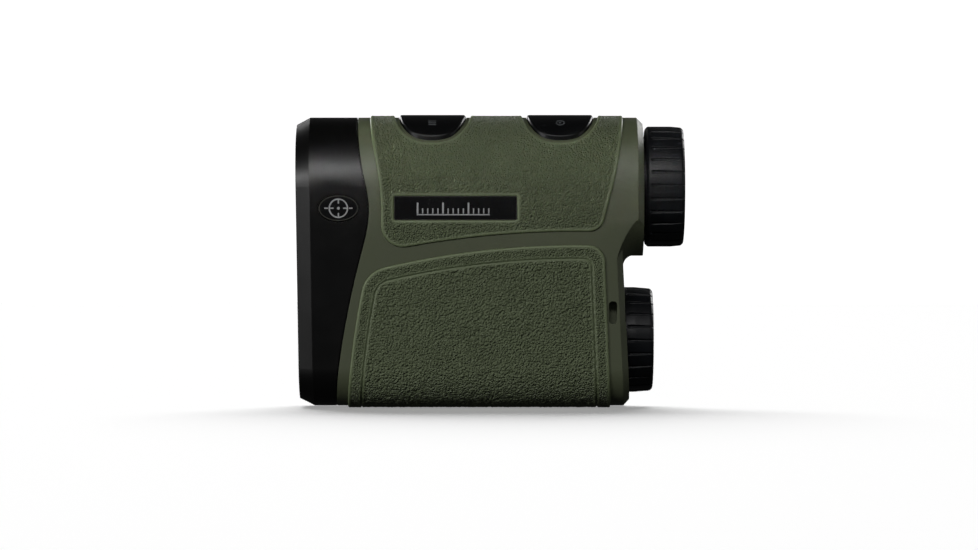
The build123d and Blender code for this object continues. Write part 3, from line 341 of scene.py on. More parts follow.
def lattice(loops, step):
    """Staggered points inside a region."""
    low, high = loops[0].min(0), loops[0].max(0)
    points = []
    for k, row in enumerate(np.arange(low[1], high[1], step * 0.866)):
        across = np.arange(low[0] + (k % 2) * step / 2, high[0], step)
        points.append(np.stack([across, np.full_like(across, row)], 1))
    points = np.concatenate(points)
    return points[inside(points, loops)]


def triangles(loops, free, region):
    """Triangulates outlines and free points, and keeps what lies in the region."""
    points, edges = [], []
    for loop in loops:
        first = len(points)
        points += [tuple(p) for p in loop]
        edges += [(first + i, first + (i + 1) % len(loop)) for i in range(len(loop))]
    rim = len(points)
    points += [tuple(p) for p in free]
    flat, _, faces, source, _, _ = delaunay_2d_cdt([Vector(p) for p in points], edges, [], 0, TIE)
    flat = np.array([tuple(p) for p in flat])
    on_rim = np.array([bool(ids) and min(ids) < rim for ids in source])
    faces = np.array([f for f in faces if len(f) == 3])
    doubtful = on_rim[faces].all(1)
    keep = ~doubtful
    keep[doubtful] = inside(flat[faces[doubtful]].mean(1), region)
    return flat, faces[keep]


# ---------------- grip panels
def in_groove(points, lines):
    return inside(points, lines[:1]) & ~inside(points, lines[1:])


def fillet(radius, away):
    """Drop of a rounded edge at a distance from it."""
    return radius - np.sqrt(np.maximum(radius ** 2 - (radius - away) ** 2, 0))


def grip_panel(node, low, settings):
    """One moulded rubber panel: a fine skin with rounded edges, its side walls and its hidden back."""
    cell, rounding = settings.cell / MM, settings.edge_round / MM
    raw = skin_outlines(node, low)
    outer = [evenly(loop, cell) for loop in (raw[:1] if low else raw)]
    lines = [evenly(loop, cell) for loop in (raw[1:3] if low else [])]
    dense_outer = np.concatenate([evenly(loop, OUTLINE_STEP) for loop in outer])
    rims, free = [], []
    for loop in outer:
        for depth in (*EDGE_RINGS, rounding):
            ring = moved_in(loop, depth, outer)
            free.append(ring[nearest(ring, dense_outer) > depth - 0.05])
    grid = lattice(outer, cell)
    clear = nearest(grid, dense_outer) > rounding + 0.35 * cell
    if lines:
        dense_lines = np.concatenate([evenly(loop, OUTLINE_STEP) for loop in lines])
        rims = lines + [moved_in(loop, GROOVE_WALL, lines) for loop in lines]
        free += [2 * loop - moved_in(loop, GROOVE_LIP, lines) for loop in lines]
        clear &= nearest(grid, dense_lines) > GROOVE_LIP + 0.35 * cell
        clear &= ~in_groove(grid, lines)
    flat, faces = triangles(outer + rims, np.concatenate(free + [grid[clear]]), outer)

    # heights, and the weights that the grain and the colour follow
    edge = nearest(flat, dense_outer)
    drop = np.where(edge < rounding, fillet(rounding, edge), 0)
    grain = np.clip((edge - 0.45) / 0.6, 0, 1)
    field = np.zeros(len(flat))
    if lines:
        line = nearest(flat, dense_lines)
        sunk = in_groove(flat, lines)
        drop = np.where(sunk & (line > 0.1), GROOVE_DEPTH, drop)
        drop = np.where(~sunk & (line < GROOVE_LIP), fillet(GROOVE_LIP, line) * 0.8, drop)
        grain = np.minimum(grain, np.where(sunk, 0, np.clip((line - 0.1) / 0.45, 0, 1)))
        field = np.where(inside(flat, lines[1:]), 1.0, 0.0)
    top, normals = roll_up(flat[:, 0], flat[:, 1], LIFT - drop, low)

    # the border is every edge that only one face has; the back hangs from it
    border = {}
    for f in faces.tolist():
        for pair in zip(f, f[1:] + f[:1]):
            border[frozenset(pair)] = None if frozenset(pair) in border else pair
    border = [pair for pair in border.values() if pair]
    rim_ids = sorted({a for a, _ in border})
    grid = lattice(outer, 1.6)
    grid = grid[nearest(grid, dense_outer) > 0.7]
    slot_of = {v: k for k, v in enumerate(rim_ids)}
    back, _, back_faces, source, _, _ = delaunay_2d_cdt(
        [Vector(p) for p in (*flat[rim_ids], *grid)], [(slot_of[a], slot_of[b]) for a, b in border], [], 0, TIE)
    back = np.array([tuple(p) for p in back])
    back_faces = np.array([f for f in back_faces if len(f) == 3])
    back_faces = back_faces[inside(back[back_faces].mean(1), outer)]
    depth, _ = roll_up(back[:, 0], back[:, 1], np.full(len(back), -GRIP_DEPTH), low)
    home = {k: i for i, ids in enumerate(source) for k in ids}
    start = len(top)
    points = np.concatenate([top, depth])
    walls = [(b, a, start + home[slot_of[a]], start + home[slot_of[b]]) for a, b in border]
    under = [tuple(start + i for i in reversed(tuple(f))) for f in back_faces]
    every = [tuple(f) for f in faces] + walls + under
    sample = faces[len(faces) // 2]
    a, b, c = top[sample]
    if np.dot(np.cross(b - a, c - a), normals[sample[0]]) <= 0:
        every = [tuple(reversed(f)) for f in every]
    made = from_mm(node + "_skin", points, every)
    for name, values in (("grain", grain), ("field", field), ("edge", np.clip(1 - edge / 0.7, 0, 1))):
        full = np.zeros(len(points), np.float32)
        full[:len(values)] = values
        made.data.attributes.new(name, "FLOAT", "POINT").data.foreach_set("value", full)
    return made


def pebble_tree():
    """Geometry Nodes: sinks the skin between pebbles, by the weights painted on the panel."""
    tree, source, result = new_tree("Pebbled grip", [
        ("Fine Grain", "NodeSocketFloat", 0.0007), ("Coarse Grain", "NodeSocketFloat", 0.001),
        ("Fine Relief", "NodeSocketFloat", 0.0001), ("Coarse Relief", "NodeSocketFloat", 0.0002),
        ("Seed", "NodeSocketInt", 1), ("Material", "NodeSocketMaterial", None)])
    position = add(tree, "GeometryNodeInputPosition")
    normal = add(tree, "GeometryNodeInputNormal")
    weight = add(tree, "GeometryNodeInputNamedAttribute", {"Name": "grain"}, data_type="FLOAT")
    field = add(tree, "GeometryNodeInputNamedAttribute", {"Name": "field"}, data_type="FLOAT")
    depths = []
    for grain, relief in (("Fine Grain", "Fine Relief"), ("Coarse Grain", "Coarse Relief")):
        scale = add(tree, "ShaderNodeMath", {0: 1.0, 1: source.outputs[grain]}, operation="DIVIDE")
        wander = add(tree, "ShaderNodeTexNoise", {"Vector": position, "Scale": scale, "Detail": 1.0})
        shift = add(tree, "ShaderNodeVectorMath", {0: wander.outputs["Color"], "Scale": 0.45}, operation="SCALE")
        place = add(tree, "ShaderNodeVectorMath", {0: position, "Scale": scale}, operation="SCALE")
        moved = add(tree, "ShaderNodeVectorMath", {0: place, 1: shift}, operation="ADD")
        seeded = add(tree, "ShaderNodeVectorMath", {0: moved, 1: source.outputs["Seed"]}, operation="ADD")
        cells = add(tree, "ShaderNodeTexVoronoi", {"Vector": seeded, "Scale": 1.0, "Smoothness": 0.35},
                    feature="SMOOTH_F1")
        hollow = add(tree, "ShaderNodeMapRange", {0: cells.outputs["Distance"], 1: 0.1, 2: 0.75, 3: 0.0, 4: 1.0})
        depths.append(add(tree, "ShaderNodeMath", {0: hollow, 1: source.outputs[relief]},
                          operation="MULTIPLY"))
    blend = add(tree, "ShaderNodeMix", {0: field, 2: depths[0], 3: depths[1]}, data_type="FLOAT")
    sink = add(tree, "ShaderNodeMath", {0: blend, 1: weight}, operation="MULTIPLY")
    sink = add(tree, "ShaderNodeMath", {0: sink, 1: -1.0}, operation="MULTIPLY")
    offset = add(tree, "ShaderNodeVectorMath", {0: normal, "Scale": sink}, operation="SCALE")
    shaped = add(tree, "GeometryNodeSetPosition", {"Geometry": source.outputs[0], "Offset": offset})
    whole = add(tree, "GeometryNodeRealizeInstances", {0: shaped})
    painted = add(tree, "GeometryNodeSetMaterial", {"Geometry": whole, "Material": source.outputs["Material"]})
    plug(tree, result, {0: painted})
    return tree


class RANGEFINDER_OT_grips(bpy.types.Operator):
    """Pebbled rubber panels in place of the plain upper and lower grips"""
    bl_idname = "rangefinder.grips"
    bl_label = "Grip panels"

    def execute(self, context):
        settings = context.scene.rangefinder_grips
        tree, rubber = pebble_tree(), grip_rubber(settings)
        for node, low in (("upper_grip", False), ("lower_grip", True)):
            made = grip_panel(node, low, settings)
            baked(made, tree, {"Fine Grain": settings.fine_grain, "Coarse Grain": settings.coarse_grain,
                               "Fine Relief": settings.fine_relief, "Coarse Relief": settings.coarse_relief,
                               "Seed": settings.seed, "Material": rubber})
            made.data.shade_smooth()
            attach(made, "housing")
            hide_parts(node)
        return {"FINISHED"}


# ---------------- finger rings
def spin_tree():
    """Geometry Nodes: turns one sector into a whole ring about a line along X."""
    tree, source, result = new_tree("Ring of sectors", [
        ("Count", "NodeSocketInt", 24), ("Axis Height", "NodeSocketFloat", 0.05),
        ("Material", "NodeSocketMaterial", None)])
    points = add(tree, "GeometryNodePoints", {"Count": source.outputs["Count"]})
    index = add(tree, "GeometryNodeInputIndex")
    step = add(tree, "ShaderNodeMath", {0: tau, 1: source.outputs["Count"]}, operation="DIVIDE")
    turn = add(tree, "ShaderNodeMath", {0: index, 1: step}, operation="MULTIPLY")
    rotation = add(tree, "ShaderNodeCombineXYZ", {"X": turn})
    copies = add(tree, "GeometryNodeInstanceOnPoints", {"Points": points, "Instance": source.outputs[0],
                                                        "Rotation": rotation})
    whole = add(tree, "GeometryNodeRealizeInstances", {0: copies})
    joined = add(tree, "GeometryNodeMergeByDistance", {"Geometry": whole, "Distance": 2e-6})
    rise = add(tree, "ShaderNodeCombineXYZ", {"Z": source.outputs["Axis Height"]})
    placed = add(tree, "GeometryNodeSetPosition", {"Geometry": joined, "Offset": rise})
    painted = add(tree, "GeometryNodeSetMaterial", {"Geometry": placed, "Material": source.outputs["Material"]})
    plug(tree, result, {0: painted})
    return tree


def rounded_profile(corners, radius, step=0.35):
    """Closed (x, r) profile with its corners rounded, and points no further apart than step."""
    out, n = [], len(corners)
    for i in range(n):
        before, at, after = (Vector(corners[(i + k) % n]) for k in (-1, 0, 1))
        cut = min(radius, (before - at).length * 0.45, (after - at).length * 0.45)
        a, b = at + (before - at).normalized() * cut, at + (after - at).normalized() * cut
        out += [(a * (1 - t) ** 2 + at * 2 * t * (1 - t) + b * t * t) for t in (0, 0.25, 0.5, 0.75, 1)]
    dense = []
    for a, b in zip(out, out[1:] + out[:1]):
        parts = max(1, round((b - a).length / step))
        dense += [a.lerp(b, k / parts) for k in range(parts)]
    return dense


def ribbed_ring(name, corners, outer, groove_from, groove_to, count, settings):
    """One sector of a moulded ring: a groove in the middle, half a land on each side."""
    depth, width = settings.groove_depth / MM, settings.groove_width / MM
    profile = rounded_profile(corners, 0.28)
    pitch = tau / count
    half = pitch * outer / 2
    offsets = sorted({round(sign * width / 2 * (1 - k / 8) * 1.15, 4) for k in range(9) for sign in (-1, 1)}
                     | {-half, half, -half * 0.82, half * 0.82, 0.0})
    offsets = [v for v in offsets if abs(v) <= half + 1e-9]
    points, faces = [], []
    for v in offsets:
        angle = v / outer
        for x, r in profile:
            along = (x - groove_from) / (groove_to - groove_from)
            sunk = 0.0
            if r > outer - 1.0 and -0.02 < along < 1.15:
                entry = min(1, max(0, (x - groove_from + 0.05) / 0.45))
                fade = (1 - 0.62 * max(0, along)) * (entry * entry * (3 - 2 * entry))
                spread = width / 2 * (1 - 0.45 * max(0, min(1, along)))
                bowl = max(0, 1 - (abs(v) / spread) ** 2.4)
                sunk = depth * fade * bowl
            points.append((x, -(r - sunk) * sin(angle), (r - sunk) * cos(angle)))
    n = len(profile)
    for i in range(len(offsets) - 1):
        for k in range(n):
            a, b = i * n + k, i * n + (k + 1) % n
            faces.append((a, b, b + n, a + n))
    made = from_mm(name, points, faces)
    fix_normals(made)
    return made


def fix_normals(made):
    """Turns a closed ring's sector so that its faces point away from the material."""
    mesh = made.data
    work = bmesh.new()
    work.from_mesh(mesh)
    outer = max(work.faces, key=lambda f: f.calc_center_median().yz.length)
    middle = outer.calc_center_median()
    if outer.normal.dot(Vector((0, middle.y, middle.z))) < 0:
        bmesh.ops.reverse_faces(work, faces=work.faces)
    work.to_mesh(mesh)
    work.free()


class RANGEFINDER_OT_rings(bpy.types.Operator):
    """Grooved rubber of the dioptre ring and of the battery cap"""
    bl_idname = "rangefinder.rings"
    bl_label = "Finger rings"

    def execute(self, context):
        settings = context.scene.rangefinder_rings
        tree, rubber = spin_tree(), ring_rubber(settings)
        x0, x1, r = self.sizes("dioptre_ring")
        _, seat, bore = self.sizes("dioptre_sleeve")
        lip = self.sizes("eyecup")[2]
        ring = [(x0, bore), (x0, r - 0.7), (x0 + 0.7, r), (x0 + 6.4, r), (x1 - 0.6, r - 0.25), (x1, r - 0.8), (x1, lip),
                (seat, lip), (seat, bore)]
        made = ribbed_ring("dioptre_ring_rubber", ring, r, x0 + 1.3, x1 - 0.5, settings.ring_grooves, settings)
        baked(made, tree, {"Count": settings.ring_grooves, "Axis Height": TUBE_Z * MM, "Material": rubber})
        finish_ring(made, "dioptre_ring", "dioptre_ring")

        x0, x1, r = self.sizes("cap_grip")
        core, disc = 11.8, self.sizes("battery_cap")[1]
        cup = [(x0, core), (x0, r - 0.5), (x0 + 0.5, r), (x0 + 3.0, r), (x1 - 0.6, r - 0.35), (x1, r - 0.95), (x1, 9.6),
               (x1 - 0.3, 9.2), (x1 - 0.3, 0.02), (disc, 0.02), (disc, core)]
        made = ribbed_ring("cap_grip_rubber", cup, r, x0 + 1.1, x1 - 0.5, settings.cap_grooves, settings)
        baked(made, tree, {"Count": settings.cap_grooves, "Axis Height": CAP_Z * MM, "Material": rubber})
        finish_ring(made, "cap_grip", "battery_cap")
        return {"FINISHED"}

    def sizes(self, node):
        """Ends along X and radius of a round piece, in millimetres."""
        low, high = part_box(node)
        return low.x / MM, high.x / MM, high.y / MM


def finish_ring(made, node, body):
    made.data.shade_smooth()
    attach(made, body)
    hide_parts(node)


# ---------------- trim
def flank_frame(side, x, z, up):
    """Origin and axes of a flat seat on the flank: along, up the flank, and outwards."""
    n = Vector((0, side * cos(DRAFT), -sin(DRAFT)))
    reach = TUBE_R / cos(DRAFT) - (TUBE_Z - z) * sin(DRAFT) / cos(DRAFT)
    u = Vector((-side, 0, 0))
    return Vector((x, side * reach, z)) + n * up, u, n.cross(u), n


def tablets(shapes, bevel):
    """Mesh data of flat shapes with bevelled tops. Each shape is (outline, hole or None, low, high), in (u, v)."""
    points, faces = [], []
    for outer, hole, low, high in shapes:
        outer = np.array(outer, float)
        n, start = len(outer), len(points)
        chain = [(outer, low), (outer, high - bevel), (shrunk(outer, bevel), high)]
        if hole is not None:
            hole = np.array(hole, float)
            chain += [(shrunk(hole, -bevel), high), (hole, high - bevel), (hole, low)]
        points += [(u, v, w) for ring, w in chain for u, v in ring]
        for k in range(len(chain) - (hole is None)):
            a, b = start + k * n, start + (k + 1) % len(chain) * n
            faces += [(a + i, a + (i + 1) % n, b + (i + 1) % n, b + i) for i in range(n)]
        if hole is None:
            faces += [tuple(range(start + 2 * n, start + 3 * n)), tuple(reversed(range(start, start + n)))]
    return np.array(points), faces


def shrunk(loop, distance):
    """Outline moved inwards; it runs anticlockwise."""
    before, after = loop - np.roll(loop, 1, 0), np.roll(loop, -1, 0) - loop
    normals = [np.stack([-e[:, 1], e[:, 0]], 1) / np.hypot(*e.T)[:, None] for e in (before, after)]
    mitre = normals[0] + normals[1]
    mitre /= np.maximum(np.sum(mitre ** 2, 1), 1e-9)[:, None] / 2
    return loop + mitre * distance


def box_outline(u, v, width, height, radius=0.0, points=4):
    """Rectangle round a centre, with rounded corners, anticlockwise."""
    if not radius:
        return [(u + a * width / 2, v + b * height / 2) for a, b in ((-1, -1), (1, -1), (1, 1), (-1, 1))]
    out = []
    for a, b, first in ((1, 1, 0), (-1, 1, 1), (-1, -1, 2), (1, -1, 3)):
        cu, cv = u + a * (width / 2 - radius), v + b * (height / 2 - radius)
        out += [(cu + radius * cos((first + k / points) * pi / 2), cv + radius * sin((first + k / points) * pi / 2))
                for k in range(points + 1)]
    return out


def oval(u, v, a, b, points=96):
    return [(u + a * cos(tau * k / points), v + b * sin(tau * k / points)) for k in range(points)]


def on_flank(name, shapes, bevel, side, x, z, up):
    origin, u, v, n = flank_frame(side, x, z, up)
    flat, faces = tablets(shapes, bevel)
    return from_mm(name, [origin + u * p[0] + v * p[1] + n * p[2] for p in flat], faces, smooth=False)


def flank_seat(node):
    """Side, middle and size of a plate let into the flank, from its box."""
    low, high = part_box(node)
    side = 1 if high.y > 0 and low.y > 0 else -1
    middle = (low + high) / 2 / MM
    return side, middle.x, middle.z, (high.x - low.x) / MM, (high.z - low.z) / MM


class RANGEFINDER_OT_trim(bpy.types.Operator):
    """Rims and printed marks of the nameplates and the badges"""
    bl_idname = "rangefinder.trim"
    bl_label = "Nameplate and badge trim"

    def execute(self, context):
        settings = context.scene.rangefinder_trim
        rim_metal, print_ink = satin_rim(), legend_ink(settings)
        for side_name in ("left", "right"):
            self.nameplate(side_name + "_nameplate", settings, rim_metal, print_ink)
            self.badge(side_name + "_badge", rim_metal, print_ink)
        return {"FINISHED"}

    def nameplate(self, node, settings, rim_metal, print_ink):
        """A thin raised rim round a glossy plate, with a plain scale printed on it."""
        *seat, long, high = flank_seat(node)
        rim, tick, face = settings.rim / MM, settings.tick_width / MM, LIFT - 0.15
        border = (box_outline(0, 0, long - 0.02, high, 0.35), box_outline(0, 0, long - 2 * rim, high - 2 * rim, 0.2),
                  -0.1, 0.13)
        self.put(node + "_rim", [border], 0.06, seat, face, rim_metal)
        run, shift, print_heights = long * 0.58, 0.02 * long, (-0.03, 0.035)
        marks = []
        for k in range(settings.ticks):
            wide, tall = (0.7 * tick, 1.3) if k % 5 else (tick, 2.7)
            at = -run / 2 + run * k / (settings.ticks - 1) - shift
            marks.append((box_outline(at, -1.45 + tall / 2 + 0.1, wide, tall), None, *print_heights))
        marks.append((box_outline(-shift, -1.62, run + tick, 0.26), None, *print_heights))
        self.put(node + "_scale", marks, 0.012, seat, face, print_ink)

    def badge(self, node, rim_metal, print_ink):
        """An oval with a bright lip below its pocket's edge, and a plain sighting mark."""
        *seat, long, high = flank_seat(node)
        face, line, reach = -0.2, 0.33, high / 2 - 0.75
        lip = (oval(0, 0, long / 2 + 0.02, high / 2 + 0.02), oval(0, 0, long / 2 - 0.3, high / 2 - 0.3), -0.35, 0.06)
        self.put(node + "_rim", [lip], 0.09, seat, face, rim_metal)
        mark = [(oval(0, 0, reach, reach, 64), oval(0, 0, reach - line, reach - line, 64), -0.05, 0.09),
                (oval(0, 0, 0.36, 0.36, 24), None, -0.05, 0.09)]
        for k in range(4):
            u, v = (reach - 0.75) * cos(k * pi / 2), (reach - 0.75) * sin(k * pi / 2)
            mark.append((box_outline(u, v, *((line, 1.0) if k % 2 else (1.0, line))), None, -0.05, 0.08))
        for a in (-1, 1):
            mark.append((box_outline(a * (reach + 0.62), 0, 0.9, line), None, -0.05, 0.08))
        self.put(node + "_mark", mark, 0.03, seat, face, print_ink)

    def put(self, name, shapes, bevel, seat, up, material):
        made = on_flank(name, shapes, bevel, *seat, up)
        made.data.materials.append(material)
        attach(made, "housing")


class RANGEFINDER_OT_icons(bpy.types.Operator):
    """Pad-printed marks on the two buttons: three bars, and a target"""
    bl_idname = "rangefinder.icons"
    bl_label = "Button marks"

    def execute(self, context):
        ink = button_ink()
        heights, turn = (-0.05, 0.05), radians(29)
        bars = [(box_outline(0, v, 2.0, 0.42, 0.15), None, *heights) for v in (-0.95, 0, 0.95)]
        target = [(oval(0, 0, 1.15, 1.3, 40), oval(0, 0, 0.8, 0.95, 40), *heights),
                  (oval(0, 0, 0.3, 0.34, 20), None, *heights)]
        for node, shapes in (("menu_button", bars), ("measure_button", target)):
            low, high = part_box(node)
            x, r = (low.x + high.x) / 2 / MM, high.z / MM - TUBE_Z
            flat, faces = tablets(shapes, 0.015)
            points = []
            for u, v, w in flat:
                angle = turn - v / r
                points.append((x + u, -(r + w) * sin(angle), TUBE_Z + (r + w) * cos(angle)))
            made = from_mm(node + "_mark", points, faces, smooth=False)
            made.data.materials.append(ink)
            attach(made, node)
        return {"FINISHED"}


# ---------------- materials
def shader(name, **sockets):
    """New material, its tree and its Principled shader with values on its sockets."""
    material = bpy.data.materials.new(name)
    material.use_nodes = True
    tree = material.node_tree
    tree.nodes.clear()
    body = add(tree, "ShaderNodeBsdfPrincipled", {key.replace("_", " "): value for key, value in sockets.items()})
    end = add(tree, "ShaderNodeOutputMaterial", {"Surface": body.outputs[0]})
    end.is_active_output = True
    return material, tree, body


def moulded(name, colour, shade, low, high, size, height, edge=0.0, patch=6.0, **sockets):
    """Surface with a fine random texture: two tones, a spread of roughness and a grain this size and height, in mm."""
    material, tree, body = shader(name, **sockets)
    place = add(tree, "ShaderNodeTexCoord").outputs["Object"]
    cloud = add(tree, "ShaderNodeTexNoise", {"Vector": place, "Scale": 1 / (patch * MM), "Detail": 4.0})
    tone = add(tree, "ShaderNodeMix", {0: cloud, 6: rgba(colour), 7: rgba(shade)}, data_type="RGBA").outputs[2]
    rough = add(tree, "ShaderNodeMapRange", {0: cloud, 1: 0.3, 2: 0.7, 3: low, 4: high})
    grain = add(tree, "ShaderNodeTexNoise", {"Vector": place, "Scale": 1 / (size * MM), "Detail": 3.0, "Roughness": 0.6})
    bump = add(tree, "ShaderNodeBump", {"Height": grain, "Distance": height * MM, "Strength": 1.0})
    if edge:
        plug(tree, bump, {"Normal": add(tree, "ShaderNodeBevel", {"Radius": edge * MM}, samples=4)})
    plug(tree, body, {"Base Color": tone, "Roughness": rough, "Normal": bump})
    return material


def turned_metal(name, colour, shade, low, high, line, **sockets):
    """Lathe-turned metal: fine rings about X, with a slow change of tone."""
    material, tree, body = shader(name, Metallic=1.0, **sockets)
    place = add(tree, "ShaderNodeTexCoord").outputs["Object"]
    rings = add(tree, "ShaderNodeTexWave", {"Vector": place, "Scale": 1 / (line * MM) / 20, "Distortion": 0.6,
                                            "Detail": 2.0}, wave_type="BANDS", bands_direction="X").outputs[1]
    cloud = add(tree, "ShaderNodeTexNoise", {"Vector": place, "Scale": 400.0, "Detail": 3.0})
    tone = add(tree, "ShaderNodeMix", {0: cloud, 6: rgba(colour), 7: rgba(shade)}, data_type="RGBA").outputs[2]
    rough = add(tree, "ShaderNodeMapRange", {0: rings, 1: 0.0, 2: 1.0, 3: low, 4: high})
    bump = add(tree, "ShaderNodeBump", {"Height": rings, "Distance": 0.004 * MM, "Strength": 1.0})
    plug(tree, body, {"Base Color": tone, "Roughness": rough, "Normal": bump})
    return material


def grip_rubber(settings):
    """Moulded thermoplastic rubber: matt olive with two slow tones and creased all over; the rounded edges are a little
    smoother, and carry a painted highlight that makes them paler.
    """
    material, tree, body = shader("moulded_olive_rubber", IOR=1.5, Specular_IOR_Level=0.4)
    dark, base, light = (rgba(settings.rubber, share) for share in (0.72, 1.0, 1.3))
    place = add(tree, "ShaderNodeTexCoord").outputs["Object"]
    weight, field, edge = (add(tree, "ShaderNodeAttribute", attribute_name=name).outputs["Fac"]
                           for name in ("grain", "field", "edge"))
    cloud = add(tree, "ShaderNodeTexNoise", {"Vector": place, "Scale": 160.0, "Detail": 5.0})
    tone = add(tree, "ShaderNodeMix", {0: cloud, 6: dark, 7: base}, data_type="RGBA").outputs[2]
    # painted highlight: the rounded edges are painted paler, where light catches them; handling has also polished them
    # a little smoother
    painted_edge_highlight = add(tree, "ShaderNodeMath", {0: edge, 1: 0.85}, operation="MULTIPLY")
    tone = add(tree, "ShaderNodeMix", {0: painted_edge_highlight, 6: tone, 7: light}, data_type="RGBA").outputs[2]
    rough = add(tree, "ShaderNodeMapRange", {0: cloud, 1: 0.3, 2: 0.7, 3: 0.46, 4: 0.56})
    rough = add(tree, "ShaderNodeMix", {0: edge, 2: rough, 3: 0.42}, data_type="FLOAT")
    # creases round pebbles 0.4 mm across, and 0.5 mm in the field, with a sandy tooth on them; the relief is coarser
    scale = add(tree, "ShaderNodeMapRange", {0: field, 3: 1 / (0.4 * MM), 4: 1 / (0.5 * MM)})
    wander = add(tree, "ShaderNodeTexNoise", {"Vector": place, "Scale": 1500.0, "Detail": 2.0}).outputs["Color"]
    bent = add(tree, "ShaderNodeVectorMath", {0: wander, 1: (0.0002,) * 3, 2: place}, operation="MULTIPLY_ADD")
    cells = add(tree, "ShaderNodeTexVoronoi", {"Vector": bent, "Scale": scale, "Smoothness": 0.4},
                feature="SMOOTH_F1").outputs["Distance"]
    fine = add(tree, "ShaderNodeTexNoise", {"Vector": place, "Scale": 6000.0, "Detail": 2.0})
    height = add(tree, "ShaderNodeMath", {0: fine, 1: 0.3}, operation="MULTIPLY")
    height = add(tree, "ShaderNodeMath", {0: height, 1: cells}, operation="SUBTRACT")
    strength = add(tree, "ShaderNodeMapRange", {0: weight, 3: 0.06, 4: 1.0})
    bump = add(tree, "ShaderNodeBump", {"Height": height, "Distance": 0.8 * MM, "Strength": strength})
    plug(tree, body, {"Base Color": tone, "Roughness": rough, "Normal": bump})
    return material


def ring_rubber(settings):
    """EPDM rubber with a fine sandblasted skin: a cool near-black with a soft satin highlight."""
    return moulded("blasted_epdm_rubber", settings.rubber, rgba(settings.rubber, 0.7)[:3], 0.36, 0.46, 0.2, 0.03,
                   IOR=1.52, Specular_IOR_Level=0.25)


def satin_rim():
    """Satin-plated plastic rim: a thin bright line where light meets its bevel."""
    return moulded("satin_plated_rim", "4A4A44", "3A3A35", 0.3, 0.42, 0.3, 0.004, Metallic=0.3)


def legend_ink(settings):
    """Pad-printed enamel ink: flat pale grey, a touch uneven."""
    return moulded("pad_printed_ink", settings.legend, rgba(settings.legend, 0.8)[:3], 0.5, 0.62, 0.15, 0.006)


def button_ink():
    """Dark grey ink on the buttons, hardly lighter than the rubber."""
    return moulded("button_ink", "55585A", "3E4143", 0.45, 0.6, 0.15, 0.006)


